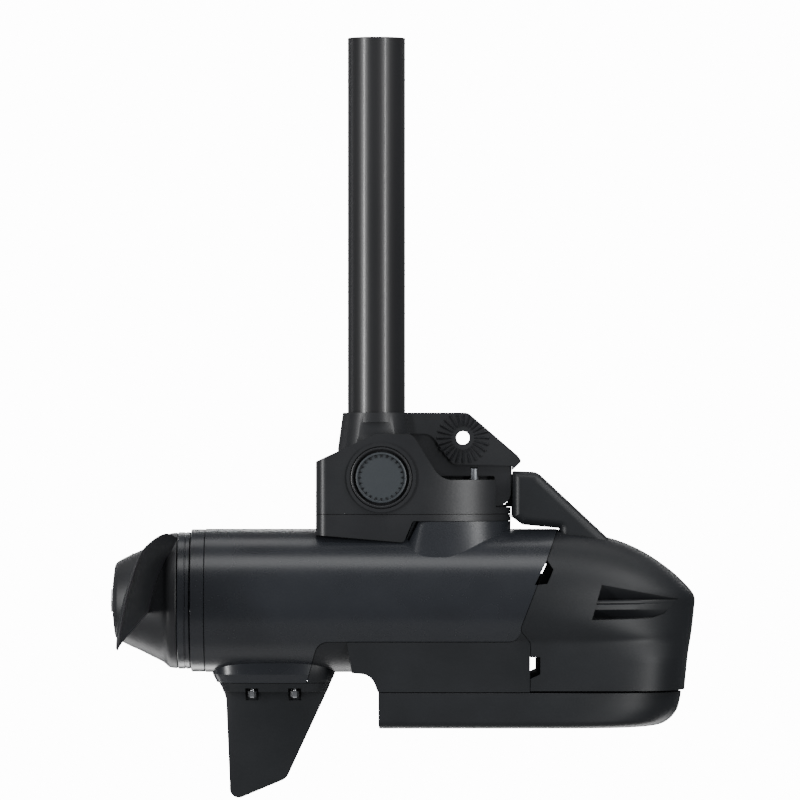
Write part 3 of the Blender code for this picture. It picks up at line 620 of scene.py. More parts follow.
def hexGrowth():
    # a hexagon head screw: chamfered head and shank
    grow = Growth(
        "hexScrewTree",
        {
            "Across corners": ("Float", 0.0054),
            "Head height": ("Float", 0.0044),
            "Shank radius": ("Float", 0.0017),
            "Shank length": ("Float", 0.009),
            "Head sides": ("Int", 6),
            "Material": ("Material", None),
        },
    )
    radius = grow.math("MULTIPLY", grow.ask("Across corners"), 0.5)
    lowHeight = grow.math("MULTIPLY", grow.ask("Head height"), 0.86)
    topHeight = grow.math("MULTIPLY", grow.ask("Head height"), 0.14)
    head = grow.node(
        "GeometryNodeMeshCone",
        Vertices=grow.ask("Head sides"),
        Radius_Top=radius,
        Radius_Bottom=radius,
        Depth=lowHeight,
    )
    chamfer = grow.node(
        "GeometryNodeMeshCone",
        Vertices=grow.ask("Head sides"),
        Radius_Top=grow.math("MULTIPLY", radius, 0.82),
        Radius_Bottom=radius,
        Depth=topHeight,
    )
    raised = grow.node(
        "GeometryNodeTransform", Geometry=chamfer, Translation=grow.vector(z=lowHeight)
    )
    shank = grow.node(
        "GeometryNodeMeshCylinder",
        Vertices=24,
        Radius=grow.ask("Shank radius"),
        Depth=grow.ask("Shank length"),
    )
    down = grow.math("MULTIPLY", grow.ask("Shank length"), -0.5)
    lowered = grow.node("GeometryNodeTransform", Geometry=shank, Translation=grow.vector(z=down))
    joined = grow.tree.nodes.new("GeometryNodeJoinGeometry")
    for piece in (head, raised, lowered):
        grow.tree.links.new(piece, joined.inputs[0])
    grow.finish(joined.outputs[0])
    return grow


tubes = tubeGrowth()
teeth = ringGrowth()
hexes = hexGrowth()


def merge(pieces):
    # several plain meshes as one object
    body = bmesh.new()
    for piece in pieces:
        body.from_mesh(piece.data)
    for piece in pieces:
        bpy.data.objects.remove(piece)
    mesh = bpy.data.meshes.new("merged")
    body.to_mesh(mesh)
    body.free()
    return linked("merged", mesh)


# shaft tube

low, high = nodeBox("shaft_tube")
shaft = {"radius": high[0], "wall": 3.2, "foot": low[2], "top": high[2], "rim": 0.5}


def makeShaft():
    length = shaft["top"] - shaft["foot"]
    piece = tubes.run(
        "shaftTube",
        {
            "Outer radius": shaft["radius"] * mm, "Wall": shaft["wall"] * mm,
            "Length": length * mm, "Rim easing": shaft["rim"] * mm,
            "Material": finishes["shaft_black"],
        },
        place((0, 0, (shaft["top"] + shaft["foot"]) / 2), along["Z"]),
    )
    hand(piece, "shaftTube", "shaft", ["shaft_tube"], sharp=30)


makeShaft()
print("shaft made")

# upper bracket: socket, barrel, wing with its rosette, and tongue

low, high = nodeBox("upper_bracket")
upper = {
    "top": high[2], "socketTopR": 22.3, "socketLowR": 25.6, "waist": -254.5, "barrelR": 19.3,
    "barrelHalf": 21.4, "boreR": 8.3, "sweepR": 84.8, "wingHalf": 9.5, "tongueHalf": 7.0,
    "edge": 1.3, "holeX": 57.3, "holeZ": -265.0, "holeR": 4.4,
}
wingLine = [
    (0, upper["top"], 0), (60.5, upper["top"], 6), (93.5, -276.6, 0), (96.2, -280.4, 2),
    (89.9, -286.3, 0), (89.9, -283.4, 0), (50.5, -282.6, 6), (36.0, -262.2, 10), (0, -262.2, 0),
]
tongueLine = [
    (12, -256.0, 0), (50.0, -262.0, 0), (89.6, -281.0, 0), (89.5, -296.0, 0), (88.0, -310.0, 9),
    (74.0, -310.0, 1.5), (72.0, -297.0, 1.0), (42.0, -297.0, 4.0), (12, -304.0, 0),
]
recessLine = [(36.0, -290.2, 0), (78.2, -290.2, 1), (79.6, -330.0, 0), (36.0, -330.0, 0)]
stop = {"x": 64.6, "y": -4.0, "radius": 3.3, "top": -284.8, "foot": -310.4}


def makeUpperBracket():
    top, foot = upper["top"], pivotZ + 6
    body = turned(
        [
            (0, top), (upper["socketTopR"], top), (upper["socketLowR"], pivotZ + 19),
            (upper["socketLowR"], foot), (0, foot),
        ]
    )
    half, waist = upper["barrelHalf"], upper["waist"]
    sides = ((-60, -half), (half, 60))
    cut(body, *[brick((-60, left, -320), (120, right, waist)) for left, right in sides])
    barrel = pivotDrum(upper["barrelR"], half)
    wing = slab(rounded(wingLine), -upper["wingHalf"], upper["wingHalf"])
    tongue = slab(rounded(tongueLine), -upper["tongueHalf"], upper["tongueHalf"])
    join(body, barrel, tongue)
    join(body, wing)
    hole = (upper["holeX"], 0, upper["holeZ"])
    cut(
        body,
        drum(shaft["radius"] + 0.25, shaft["foot"] - 1, -200),
        pivotDrum(upper["boreR"], 30),
        drum(upper["holeR"], -20, 20, "Y", hole),
        drum(stop["radius"] + 0.5, -292, stop["top"] + 0.4, "Z", (stop["x"], stop["y"], 0)),
        slab(rounded(recessLine), -12.0, 0.4),
    )
    sweep = pivotDrum(110, grooveHalf, 256)
    cut(sweep, pivotDrum(upper["sweepR"], 5, 256))
    keep(sweep, strip(60, 100, -330, -286.6, grooveHalf))
    cut(body, sweep, strip(58, 95, -312, -308.8, grooveHalf))
    soften(body, upper["edge"])
    hand(body, "upperBracket", "shaft", ["upper_bracket"])


rosetteLimit = [(30, -249.6), (60.2, -249.6), (92, -277.0), (92, -281.4)]
rosetteLimit += [(50.5, -281.4), (30, -260)]
rosette = {"count": 24, "middle": 12.4, "length": 9.4, "width": 1.5, "height": 1.1}


def makeRosettes():
    # serrations round the bolt hole, on both faces of the wing
    both = []
    for out in (-1, 1):
        centre = (upper["holeX"], out * upper["wingHalf"], upper["holeZ"])
        both.append(
            teeth.run(
                "rosette",
                {
                    "Count": rosette["count"], "Radius": rosette["middle"] * mm,
                    "Tooth length": rosette["length"] * mm,
                    "Tooth width": rosette["width"] * mm,
                    "Tooth height": rosette["height"] * mm, "Material": finishes["cast_black"],
                },
                place(centre, sideTurn(out)),
            )
        )
    piece = keep(merge(both), slab(rosetteLimit, -12, 12))
    hand(piece, "rosetteSerrations", "shaft", [], "cast_black", sharp=20)


def makeStopScrew():
    grip = [(0, stop["top"]), (stop["radius"] - 0.5, stop["top"])]
    grip += [(stop["radius"], stop["top"] - 0.5)]
    for k in range(12):
        level = stop["top"] - 9.0 - k * 1.25
        grip += [(stop["radius"], level), (stop["radius"] - 0.45, level - 0.6)]
    grip += [(stop["radius"] - 0.8, stop["foot"]), (0, stop["foot"])]
    piece = turned(grip, place((stop["x"], stop["y"], 0), along["Z"]), 48)
    hand(piece, "stopScrew", "shaft", ["stop_screw"], sharp=25)


makeUpperBracket()
makeRosettes()
makeStopScrew()
print("upper bracket made")

# lower bracket: cheeks, base, and what sits on the tilt axis

low, high = nodeBox("bracket_housing")
lower = {
    "back": low[0], "front": high[0], "foot": low[2], "top": high[2], "half": 29.0,
    "inside": 22.0, "floor": -310.8, "backWall": -35.6, "cornerR": 8.0, "planMiddle": 31.0,
    "planPower": 1.9, "mouth": 15.5, "edge": 1.1, "bossR": 22.9, "bossOut": high[1],
    "ringSeatR": 20.7, "capSeatR": 18.2,
}
base = {"top": lower["foot"] - 0.3, "foot": -319.7}


def planLine():
    half, back, radius = lower["half"], lower["back"], lower["cornerR"]
    middle, power = lower["planMiddle"], lower["planPower"]
    reach = lower["front"] - middle
    bow = []
    for angle in angles(-87, 87, 60):
        c, s = math.cos(angle), math.sin(angle)
        across = math.copysign(abs(s) ** (2 / power), s) * half
        bow.append((middle + c ** (2 / power) * reach, across))
    sides = [(middle, half, 0), (back, half, radius), (back, -half, radius), (middle, -half, 0)]
    return [tuple(p) for p in rounded(sides, 5)] + bow


def makeBracketHousing():
    body = slab(planLine(), lower["foot"], -255, "Z")
    cheek = [
        (lower["back"] - 2, lower["foot"] - 2, 0), (lower["back"] - 2, -280.6, 0),
        (lower["back"], -280.6, 1), (-0.5, lower["top"], 12), (23.5, lower["top"], 7),
        (42.5, -292.6, 14), (95.0, -292.6, 0), (95.0, lower["foot"] - 2, 0),
    ]
    keep(body, slab(rounded(cheek, 4), -40, 40))
    join(body, pivotDrum(lower["bossR"], lower["bossOut"], 128))
    wall, floor, inside = lower["backWall"], lower["floor"], lower["inside"]
    pocket = [(wall, floor), (wall, -300), (-60, -300), (-60, -200), (120, -200), (120, floor)]
    wide, mouth = inside + 2, lower["mouth"]
    taper = [(-70, -wide), (14, -wide), (78, -mouth), (130, -mouth)]
    taper += [(x, -y) for x, y in reversed(taper)]
    cut(body, keep(slab(pocket, -inside, inside), slab(taper, -340, -190, "Z")))
    ringR, capR = lower["ringSeatR"], lower["capSeatR"]
    seat = [(0, 20), (6.3, 20), (6.3, 25.4), (capR, 25.4), (capR, 28.2)]
    seat += [(ringR, 28.2), (ringR, 40), (0, 40)]
    cut(body, *[turned(seat, atPivot(out)) for out in (-1, 1)])
    cut(body, strip(-32, 88.0, -318, -314.4, grooveHalf))
    join(body, strip(60, 86.4, -312, -309.2, ridgeHalf))
    cut(body, drum(stop["radius"] + 0.2, stop["foot"] - 0.3, -300, "Z", (stop["x"], stop["y"], 0)))
    soften(body, lower["edge"], 4)
    hand(body, "bracketHousing", "lower_unit", ["bracket_housing"])


def makeBracketBase():
    body = slab(planLine(), base["foot"] - 16, base["top"], "Z")
    side = [
        (lower["back"] - 5, -310, 0), (lower["back"] - 5, -328.4, 0), (18.0, -333.8, 3),
        (24.0, base["foot"], 2), (100, base["foot"], 0), (100, -310, 0),
    ]
    keep(body, slab(rounded(side), -40, 40))
    cut(body, motorDrum(motor["radius"] + 0.9, -80, 160))
    join(body, strip(-31.6, 87.6, -318, -314.8, ridgeHalf))
    groove = [(12, -346), (22.4, -318.8), (88.0, -318.8), (88.0, -346)]
    cut(body, slab(groove, -grooveHalf, grooveHalf))
    soften(body, 0.5, 3)
    hand(body, "bracketBase", "lower_unit", ["bracket_base"])


pivotCap = {"radius": 16.8, "face": 31.0, "back": 25.7, "rimR": 15.2, "dish": 1.3}
spline = {"count": 24, "length": 2.4, "width": 1.2, "height": 1.1}


def atPivot(out):
    return place((pivotX, 0, pivotZ), sideTurn(out))


def makePivotParts():
    rings, caps, splines = [], [], []
    radius, face, back = pivotCap["radius"], pivotCap["face"], pivotCap["back"]
    rimR, dish = pivotCap["rimR"], face - pivotCap["dish"]
    outer, inner = lower["ringSeatR"] - 0.3, lower["capSeatR"] + 0.3
    for out in (-1, 1):
        rings.append(
            turned(
                [
                    (inner + 0.5, 30.2), (outer - 0.9, 30.2), (outer - 0.3, 29.9), (outer, 29.4),
                    (outer, 28.5), (inner, 28.5), (inner, 29.6), (inner + 0.2, 30.0),
                ],
                atPivot(out),
            )
        )
        caps.append(
            turned(
                [
                    (0, dish + 0.25), (6, dish + 0.22), (12, dish + 0.1), (rimR, dish),
                    (rimR, face - 0.3), (rimR + 0.3, face), (radius - 0.7, face),
                    (radius - 0.2, face - 0.2), (radius, face - 0.7), (radius, back), (0, back),
                ],
                atPivot(out),
            )
        )
        splines.append(
            teeth.run(
                "spline",
                {
                    "Count": spline["count"],
                    "Radius": (rimR - 0.55) * mm,
                    "Tooth length": spline["length"] * mm, "Tooth width": spline["width"] * mm,
                    "Tooth height": spline["height"] * mm, "Material": finishes["blade_black"],
                },
                atPivot(out) @ Matrix.Translation((0, 0, dish * mm)),
            )
        )
    ringNodes = ["pivot_ring_near", "pivot_ring_far"]
    capNodes = ["pivot_cap_near", "pivot_cap_far"]
    hand(merge(rings), "pivotRings", "lower_unit", ringNodes, sharp=25)
    hand(merge(caps), "pivotCaps", "lower_unit", capNodes, sharp=25)
    hand(merge(splines), "pivotSplines", "lower_unit", [], "blade_black", sharp=20)


# motor housing, belly cover and nose

low, high = nodeBox("motor_housing")
motor = {
    "radius": high[1], "back": low[0], "edge": 0.5, "bellyHalf": 40.0, "saddleHalf": 24.4,
    "saddleX": -68.0, "saddlePower": 3.2, "bellyTop": -399.0,
    "bellyFoot": nodeBox("belly_cover")[0][2],
    "gap": 0.2, "webHalf": 30.0,
}
seamLine = [
    (131.0, -297.0, 0), (119.6, -325.7, 0), (94.4, -391.0, 5), (101.4, -399.4, 6),
    (101.0, -440.0, 0),
]
bellyLine = [(-46.1, -427.0, 0), (-38.4, motor["bellyTop"], 9)]
upperWindow = [(112.3, -345.0), (116.4, -351.2), (114.2, -356.6), (112.3, -360.6), (104.0, -361.4)]
lowerWindow = [(99.0, -408.8), (107.8, -408.8), (107.8, -420.2), (99.0, -424.2)]
# the narrower slots that go right through, between the sides
upperSlot = [(111.6, -347.6), (113.2, -349.0), (110.4, -355.4), (104.0, -355.8)]
lowerSlot = [(99.0, -409.4), (105.8, -409.4), (105.8, -418.8), (99.0, -422.0)]


def planLoop(z, centre, back, front, half, backPower, frontPower, count=112):
    loop = []
    for k in range(count):
        angle = math.tau * (k + 0.5) / count
        c, s = math.cos(angle), math.sin(angle)
        reach, power = (front, frontPower) if c > 0 else (back, backPower)
        x = centre + math.copysign(abs(c) ** (2 / power), c) * reach
        loop.append((x, math.copysign(abs(s) ** (2 / power), s) * half, z))
    return loop


def saddleLoop(z, back, front, half):
    power = motor["saddlePower"]
    return planLoop(z, motor["saddleX"], back, front, half, power, power)


def makeSaddle():
    half = motor["saddleHalf"]
    return stack(
        [
            saddleLoop(-398.0, 42.5, 42.5, half),
            saddleLoop(-421.0, 40.5, 40.5, half),
            saddleLoop(-426.6, 37.6, 38.0, half - 2.5),
        ]
    )


def pillow(corners, half, edge, steps=8):
    # a slab whose two rims are rounded, by shrinking its outline towards its faces
    points = [Vector(corner[:2]) for corner in corners]
    area = sum(a.x * b.y - b.x * a.y for a, b in zip(points, points[1:] + points[:1]))
    side = -1 if area > 0 else 1
    moves = []
    for i, here in enumerate(points):
        before = (here - points[i - 1]).normalized()
        after = (points[(i + 1) % len(points)] - here).normalized()
        first = Vector((before.y, -before.x)) * side
        second = Vector((after.y, -after.x)) * side
        bulges = (before.x * after.y - before.y * after.x) * side < 0
        moves.append(((first + second) / (1 + first.dot(second)), -1 if bulges else 1))
    turns = angles(0, 90, steps)
    rim = [(half - edge + edge * math.sin(a), edge * (1 - math.cos(a))) for a in turns]
    loops = []
    for y, inset in [(-y, inset) for y, inset in reversed(rim)] + rim:
        line = []
        for (move, grow), here, corner in zip(moves, points, corners):
            spot = here + move * inset
            line.append((spot.x, spot.y, max(0.2, corner[2] + grow * inset)))
        loops.append([(p.x, y, p.y) for p in rounded(line, 6)])
    return stack(loops)


def region(outline):
    return slab(outline, -90, 90)


def seamFront(shift):
    line = [(x + shift, z, r) for x, z, r in seamLine]
    return region(rounded(line + [(260, -440, 0), (260, -297, 0)]))


def seamBack(shift):
    line = [(x + shift, z, r) for x, z, r in seamLine]
    return region(rounded(line + [(-160, -440, 0), (-160, -297, 0)]))


def seamBand(back, front, half):
    # a narrow strip along the seam, in the middle of its width
    line = rounded([(118.7, -328.2, 0), (94.4, -391.0, 5), (101.4, -399.4, 6), (101.1, -430.0, 0)])
    outline = [(x + back, z) for x, z in line] + [(x + front, z) for x, z in reversed(line)]
    return slab(outline, -half, half)


def bellyRegion(grow):
    edge = [(x - grow, z + grow, r) for x, z, r in bellyLine]
    corner = [(92.6, motor["bellyTop"] + grow, 8), (103.5, -369 + grow, 0), (130, -369 + grow, 0)]
    return region(rounded(edge + corner + [(130, -470, 0), (-46.1 - grow, -470, 0)]))


def makeMotorHousing():
    body = motorDrum(motor["radius"], motor["back"], 125)
    neck = stack(
        [
            planLoop(-360.0, 44.0, 30.0, 44.5, 38.4, 4, 2),
            planLoop(-344.0, 44.0, 30.0, 44.5, 37.6, 4, 2),
            planLoop(base["foot"] - 0.3, 40.0, 15.4, 49.0, 28.6, 4, 1.9),
        ]
    )
    heel = [(18.6, -334.4), (24.6, -320.0), (44.0, -320.0), (44.0, -345.0), (16.0, -345.0)]
    ridge = [(16.6, -334.0), (23.0, -319.2), (87.6, -319.2), (84, -340), (30, -345), (16.6, -340)]
    join(body, neck, slab(heel, -23.0, 23.0), makeSaddle())
    join(body, slab(ridge, -ridgeHalf, ridgeHalf))
    coverRoom = bellyRegion(0.15)
    cut(coverRoom, motorDrum(44.2, -60, 140))
    cut(body, coverRoom)
    cut(body, seamFront(-motor["gap"]), region(upperWindow), seamBand(-1.4, 1.5, grooveHalf))
    cut(body, motorDrum(41.0, -140, 80), motorDrum(30.0, 79, 140))
    web = [(-47.0, -425.0), (-40.0, -404.0), (-34.0, -404.0), (-39.0, -425.0)]
    join(body, slab(web, -17.0, 17.0))
    soften(body, motor["edge"], 2, 40)
    hand(body, "motorHousing", "lower_unit", ["motor_housing"], sharp=13)


def makeBellyCover():
    body = motorDrum(motor["radius"], -60, 120)
    half, foot = motor["bellyHalf"], motor["bellyFoot"]
    skirt = [(-20.0, -395.0, 0), (-16.0, -419.4, 0), (-3.4, -420.6, 10), (1.0, foot, 0)]
    skirt += [(120, foot, 0), (120, -395.0, 0)]
    join(body, makeSaddle(), slab(rounded(skirt), -half, half))
    keep(body, bellyRegion(-0.15))
    cut(body, seamFront(-motor["gap"]), motorDrum(44.5, -80, 140), seamBand(-1.4, 1.5, grooveHalf))
    soften(body, motor["edge"], 2, 40)
    hand(body, "bellyCover", "lower_unit", ["belly_cover"])


nose = {"back": 88.0, "reach": nodeBox("nose_cone")[1][0], "hoodHalf": 13.0, "hoodEdge": 6.0}
noseEdge = [
    (121.0, -325.7), (139.5, -328.0), (154.7, -331.2), (168.0, -335.9), (181.2, -342.8),
    (194.5, -352.2), (203.5, -360.4), (209.0, -366.6), (211.2, -371.6), (210.8, -376.0),
    (209.0, -392.3), (206.4, -408.8), (204.1, -431.2),
]


def bowLoop(z, back, front, half, power, count=44):
    side = []
    for k in range(count):
        share = math.sin(math.pi / 2 * k / (count - 1))
        side.append((back + (front - back) * share, half * max(0, 1 - share**power) ** 0.5))
    side[-1] = (front, 0.0)
    return [(x, -w, z) for x, w in side] + [(x, w, z) for x, w in side[-2::-1]]


def noseHalf(z):
    rise = z - axisZ
    disc = math.sqrt(max(motor["radius"] ** 2 - rise**2, 30.0))
    return max(disc, motor["bellyHalf"]) if rise < 0 else disc


def nosePower(z):
    drop = min(1, max(0, (axisZ - z) / 38.0))
    return 2.3 + 5.7 * drop**2


gillLine = [(148.1, -361.2), (199.0, -371.0), (189.4, -380.6), (180.0, -383.7), (141.6, -384.3)]
gill = {"back": 138.0, "front": 203.0, "steps": 18, "fade": 152.0, "rib": 1.1, "depth": 9.0}
noseLine = curveThrough(noseEdge, 9)


def noseFront(z):
    # where the nose's front edge is at one height
    for (a, high), (b, low) in zip(noseLine, noseLine[1:]):
        if low <= z <= high and high > low:
            return min(a + (b - a) * (high - z) / (high - low), nose["reach"])
    return nose["reach"]


def noseSide(x, z):
    # how far out the nose's side stands at one place
    share = min(1, (x - nose["back"]) / (noseFront(z) - nose["back"]))
    return noseHalf(z) * max(0, 1 - share ** nosePower(z)) ** 0.5


def makeGill(out):
    # the air in a gill: a dark upper hollow, a grooved rib, and a lower hollow
    loops = []
    back, front, rib, depth = gill["back"], gill["front"], gill["rib"], gill["depth"]
    for k in range(gill["steps"] + 1):
        x = back + (front - back) * k / gill["steps"]
        top = -361.0 - max(0, x - 148.1) * 9.8 / 50.9
        fade = min(1, max(0.02, (front - x) / (front - gill["fade"])))
        section = [(None, top + 1), (0, top), (depth, -371.3), (rib + 1.0, -371.4), (rib, -372.2)]
        section += [(rib, -373.4), (rib + 0.7, -373.9), (rib, -374.4), (rib, -377.6)]
        section += [(rib + 1.2, -378.6), (depth, -383.2), (depth - 1, -384.2), (None, -384.6)]
        loop = []
        for deep, z in section:
            side = noseSide(x, z)
            loop.append((x, out * (side + 6 if deep is None else side - deep * fade), z))
        loops.append(loop)
    return keep(stack(loops), region(gillLine))


def makeNoseCone():
    loops = []
    for front, z in noseLine:
        z = min(noseEdge[0][1], max(noseEdge[-1][1], z))
        front = min(front, nose["reach"])
        loops.append(bowLoop(z, nose["back"], front, noseHalf(z), nosePower(z)))
    body = cut(stack(loops), seamBack(motor["gap"]))
    hoodLine = [
        (90.0, -286.9, 1.2), (106.5, -287.6, 9), (156.0, -333.8, 2), (150.0, -342.5, 2),
        (122.0, -342.5, 2), (121.0, -324.8, 0), (96.5, -322.4, 4), (90.0, -317.6, 0),
    ]
    ridge = [(88.4, -289), (88.4, -303), (86.6, -307.5), (83.5, -310.5)]
    ridge += [(89.3, -310.5), (89.3, -317.5), (92, -317.5), (92, -289)]
    join(body, pillow(hoodLine, nose["hoodHalf"], nose["hoodEdge"]))
    join(body, slab(ridge, -ridgeHalf, ridgeHalf), seamBand(-1.0, 1.5, ridgeHalf))
    cut(body, *[makeGill(out) for out in (-1, 1)])
    for line, inner in ((upperWindow, upperSlot), (lowerWindow, lowerSlot)):
        web = motor["webHalf"]
        cut(body, slab(line, -90, -web), slab(line, web, 90), region(inner))
    hand(body, "noseCone", "lower_unit", ["nose_cone"], sharp=32)


coverEdge = [
    (202.0, -432.4), (201.1, -438.0), (199.2, -444.5), (195.1, -450.1), (189.4, -453.9),
    (182.2, -455.5), (173.6, -456.2),
]


coverScrewX = (7.5, 86.0, 166.5)
coverRound = 8.0


def makeSonarCover():
    foot = nodeBox("sonar_cover")[0][2]
    loops = []
    for front, z in curveThrough(coverEdge, 6):
        z = max(z, foot)
        near = max(0, (-451.4 - z) / (-451.4 - foot))
        side = coverRound * (1 - math.sqrt(max(0, 1 - near**2)))
        loops.append(bowLoop(z, 1.3 + 0.15 * side, front, motor["bellyHalf"] - side, 8.0))
    body = stack(loops)
    for x in coverScrewX:
        cut(body, drum(3.4, foot - 5, foot + 3.5, "Z", (x, 0, 0), 48))
    soften(body, 0.5, 2, 40)
    hand(body, "sonarCover", "lower_unit", ["sonar_cover"])


# skeg

skeg = {
    "screws": [(-82.2, -7.6), (-54.0, -7.6), (-82.2, 7.6), (-54.0, 7.6)],
    "rootHalf": 6.5, "thin": 4.2, "top": -431.0,
}


def finLoop(z, count=64):
    half = skeg["rootHalf"] - skeg["thin"] * (skeg["top"] - z) / 73.0
    loop = []
    for k in range(count):
        angle = math.tau * (k + 0.5) / count
        c, s = math.cos(angle), math.sin(angle)
        loop.append((-62.0 + 42.0 * c, half * math.copysign(abs(s) ** 0.7, s), z))
    return loop


def makeSkeg():
    body = stack(
        [
            saddleLoop(-426.9, 37.2, 37.7, motor["saddleHalf"] - 2.7),
            saddleLoop(-432.6, 35.2, 36.0, motor["saddleHalf"] - 4.4),
        ]
    )
    join(body, stack([finLoop(z) for z in (skeg["top"], -450, -470, -490, -505)]))
    side = [
        (-120, -400, 0), (-102.0, -430.0, 0), (-99.6, -437.5, 0), (-97.2, -494.0, 0),
        (-97.2, -506.4, 6), (-59.6, -490.6, 8), (-31.0, -429.0, 0), (-20, -400, 0),
    ]
    tip = nodeBox("skeg")[0][2]
    keep(body, slab(rounded(side), -40, 40), brick((-120, -40, tip), (0, 40, -400)))
    rooms = []
    for x, y in skeg["screws"]:
        low, high = sorted((math.copysign(3.2, y), math.copysign(40, y)))
        rooms.append(brick((x - 4.3, low, -438.6), (x + 4.3, high, -430.2)))
    cut(body, *rooms)
    soften(body, 0.45, 2, 38)
    hand(body, "skegFin", "lower_unit", ["skeg"])


def hexScrews(name, nodes, spots, turn, sizes, body, slotName="stainless"):
    corners, headHeight, shankR, shankLength, sides = sizes
    values = {
        "Across corners": corners * mm, "Head height": headHeight * mm,
        "Shank radius": shankR * mm, "Shank length": shankLength * mm, "Head sides": sides,
        "Material": finishes[slotName],
    }
    made = [hexes.run(name, values, place(spot, turn)) for spot in spots]
    hand(merge(made), name, body, nodes, slotName, sharp=25)


def makeScrews():
    skegSpots = [(x, y, -432.4) for x, y in skeg["screws"]]
    skegNodes = [f"skeg_screw_{k}" for k in (1, 2, 3, 4)]
    hexScrews("skegScrews", skegNodes, skegSpots, flip, (5.4, 4.4, 1.7, 8.0, 6), "lower_unit")
    coverNodes = [f"cover_screw_{k}" for k in (1, 2, 3)]
    foot = nodeBox("sonar_cover")[0][2]
    coverSpots = [(x, 0, foot + 2.6) for x in coverScrewX]
    hexScrews("coverScrews", coverNodes, coverSpots, flip, (5.8, 2.2, 1.7, 26.0, 24), "lower_unit")
    bracketNodes = [f"bracket_screw_{k}" for k in (1, 2, 3, 4)]
    floor = lower["floor"] + 0.3
    spots = [(x, y, floor) for x in (-22, 48) for y in (-13, 13)]
    sizes = (8, 3, 2.1, 8, 6)
    hexScrews("bracketScrews", bracketNodes, spots, along["Z"], sizes, "lower_unit")


makeBracketHousing()
makeBracketBase()
makePivotParts()
print("lower bracket made")
makeMotorHousing()
makeBellyCover()
makeNoseCone()
makeSonarCover()
makeSkeg()
makeScrews()
print("motor, nose and skeg made")

# tail: end cap, tail ring and propeller

tail = {"capBack": -122.6, "capR": 47.2, "ringBack": -131.2, "ringR": 45.3}


def atAxis():
    return place((0, 0, axisZ), along["X"])


def makeTail():
    capBack, capR = tail["capBack"], tail["capR"]
    front = motor["back"] - 0.3
    cap = turned(
        [
            (capR - 0.4, front), (capR, front - 0.4), (capR, capBack + 0.9),
            (capR - 0.25, capBack + 0.3), (capR - 0.9, capBack), (20.4, capBack), (20.4, -124.5),
            (16, -124.5), (16, -112), (36, -108), (36, front + 3), (40.7, front + 3), (40.7, front),
        ],
        atAxis(),
        160,
    )
    hand(cap, "rearEndCap", "lower_unit", ["rear_end_cap"], sharp=28)
    ringBack, ringR = tail["ringBack"], tail["ringR"]
    ring = turned(
        [
            (ringR - 0.4, -123.0), (ringR, -123.4), (ringR, -125.6), (ringR - 0.5, -125.9),
            (ringR - 0.5, -126.4), (ringR, -126.7), (ringR, ringBack + 0.5),
            (ringR - 0.5, ringBack), (21, ringBack), (21, -123.0),
        ],
        atAxis(),
        160,
    )
    hand(ring, "tailRing", "lower_unit", ["tail_ring"], sharp=28)


hubLine = [
    (45.0, -132.2), (44.2, -137.0), (40.8, -141.2), (36.2, -150.3), (32.9, -156.9),
    (30.0, -163.4), (26.8, -169.6), (25.2, -171.9), (22.4, -173.3), (12.0, -174.6),
]
bladeStations = [
    (30.0, -131.5, -330.5, -150.0, -379.0), (46.0, -137.4, -327.5, -151.5, -381.0),
    (66.0, -145.0, -331.0, -154.0, -384.0), (86.0, -152.8, -339.3, -157.5, -388.5),
    (104.0, -157.8, -354.0, -161.3, -393.0), (117.0, -161.8, -369.5, -164.1, -397.0),
    (124.5, -164.7, -387.0, -165.8, -399.8), (126.8, -166.0, -397.6, -166.4, -401.2),
]


def bladeLoop(station, count=30):
    radius = station[0]
    lead, trail = Vector(station[1:3]), Vector(station[3:5])
    chord = trail - lead
    across = Vector((chord.y, -chord.x)).normalized()
    thick = 1.0 + 2.2 * (1 - radius / 127.0)
    face, back = [], []
    for k in range(count):
        share = 0.5 - 0.5 * math.cos(math.pi * k / (count - 1))
        bow = math.sin(math.pi * share)
        middle = lead + chord * share + across * 0.07 * chord.length * bow
        half = across * thick * (0.18 + 0.82 * bow**0.6)
        face.append(middle + half)
        back.append(middle - half)
    return [(p.x, -radius, p.y) for p in face + back[::-1]]


def makePropeller():
    profile = [(0, -131.7), (44.8, -131.7), *curveThrough(hubLine, 5), (0, -175.0)]
    hub = turned(profile, atAxis(), 144)
    blade = [bladeLoop(station) for station in curveThrough(bladeStations, 6)]
    halfTurn = place((0, 0, axisZ), flip) @ Matrix.Translation((0, 0, -axisZ * mm))
    blades = []
    for turn in (along["Z"], halfTurn):
        piece = stack(blade)
        piece.data.transform(turn)
        blades.append(piece)
    join(hub, *blades)
    cut(hub, motorDrum(10.0, -180, -164.0, 96), motorDrum(6.3, -165, -120, 96))
    hand(hub, "propellerBlades", "propeller", ["propeller"], sharp=30)


makeTail()
makePropeller()
print("tail and propeller made")

# floor, light and camera

room = {"floor": -1.0, "size": 1.1}


def makeFloor():
    body = bmesh.new()
    bmesh.ops.create_circle(body, cap_ends=True, segments=96, radius=room["size"])
    floor = newPiece(body, "floor")
    floor.location = (0, 0, room["floor"])
    finish = Finish("paleFloor")
    seen = finish.node("ShaderNodeLightPath", {})
    finish.set(Base_Color=(0.34, 0.34, 0.34, 1), Roughness=0.8, Emission_Strength=1.0)
    finish.set(Emission_Color=finish.blend(seen, (0.0, 0.0, 0.0), (5.0, 5.0, 5.0)))
    floor.data.materials.append(finish.material)


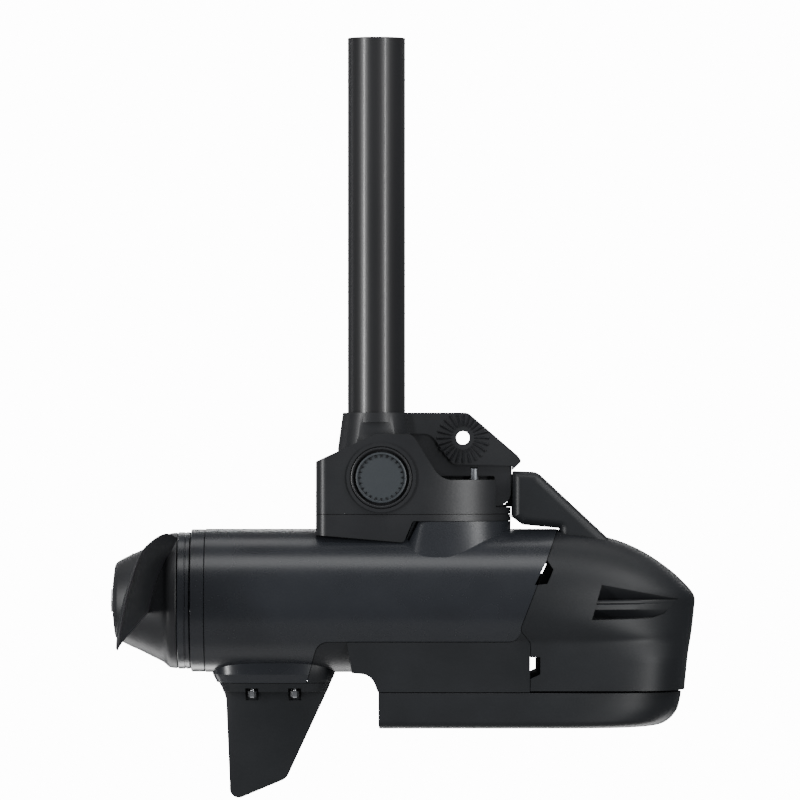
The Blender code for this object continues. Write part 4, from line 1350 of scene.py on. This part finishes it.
def makeWorld():
    # a pale studio: white where the camera looks, a dim grey for what it lights
    world = bpy.data.worlds.new("studio")
    bpy.context.scene.world = world
    world.use_nodes = True
    tree = world.node_tree
    seen = tree.nodes["Background"]
    seen.inputs[0].default_value = (1, 1, 1, 1)
    seen.inputs[1].default_value = 14.0
    dim = tree.nodes.new("ShaderNodeBackground")
    dim.inputs[0].default_value = (0.93, 0.96, 1, 1)
    dim.inputs[1].default_value = 0.13
    ray = tree.nodes.new("ShaderNodeLightPath")
    mix = tree.nodes.new("ShaderNodeMixShader")
    tree.links.new(ray.outputs["Is Camera Ray"], mix.inputs[0])
    tree.links.new(dim.outputs[0], mix.inputs[1])
    tree.links.new(seen.outputs[0], mix.inputs[2])
    tree.links.new(mix.outputs[0], tree.nodes["World Output"].inputs[0])


def softbox(name, where, target, size, watts):
    light = bpy.data.lights.new(name, "AREA")
    light.shape = "RECTANGLE"
    light.size, light.size_y = size
    light.energy = watts
    lamp = linked(name, light)
    lamp.location = where
    aim = Vector(target) - Vector(where)
    lamp.rotation_euler = aim.to_track_quat("-Z", "Y").to_euler()


lights = {
    "leftStrip": ((-1.75, -1.45, -0.15), (0, 0, -0.2), (0.20, 1.6), 42),
    "rightStrip": ((1.25, -1.75, -0.15), (0, 0, -0.2), (0.17, 1.6), 26),
    "frontTop": ((0.0, -0.63, 1.0), (0, 0, -0.35), (2.4, 0.5), 11),
    "rearTop": ((0.0, 0.42, 0.95), (0, 0, -0.35), (2.4, 0.4), 5),
    "topRim": ((0.0, 1.3, 0.28), (0, 0, -0.35), (2.4, 0.08), 4),
    "underPanel": ((0.0, -0.05, -0.98), (0, -0.04, -0.4), (1.6, 0.25), 0.35),
    "lowRim": ((0.0, 0.50, -0.95), (0, 0, -0.42), (1.6, 0.3), 8.0),
    "leftRim": ((-1.6, 0.75, -0.1), (0, 0, -0.2), (0.3, 1.6), 1.2),
    "hoodGlow": ((1.25, -0.75, 0.85), (0.12, 0, -0.3), (0.6, 0.6), 9.0),
}


def makeCamera():
    view = {"x": 0.0156, "distance": 4.5, "height": -0.2399, "lens": 305.55}
    eye = bpy.data.cameras.new("camera")
    eye.lens = view["lens"]
    eye.sensor_width = 36
    eye.clip_end = 50
    camera = linked("camera", eye)
    camera.location = (view["x"], -view["distance"], view["height"])
    camera.rotation_euler = (math.pi / 2, 0, 0)
    bpy.context.scene.camera = camera


makeFloor()
makeWorld()
for name, (where, target, size, watts) in lights.items():
    softbox(name, where, target, size, watts)
makeCamera()
print("room made")
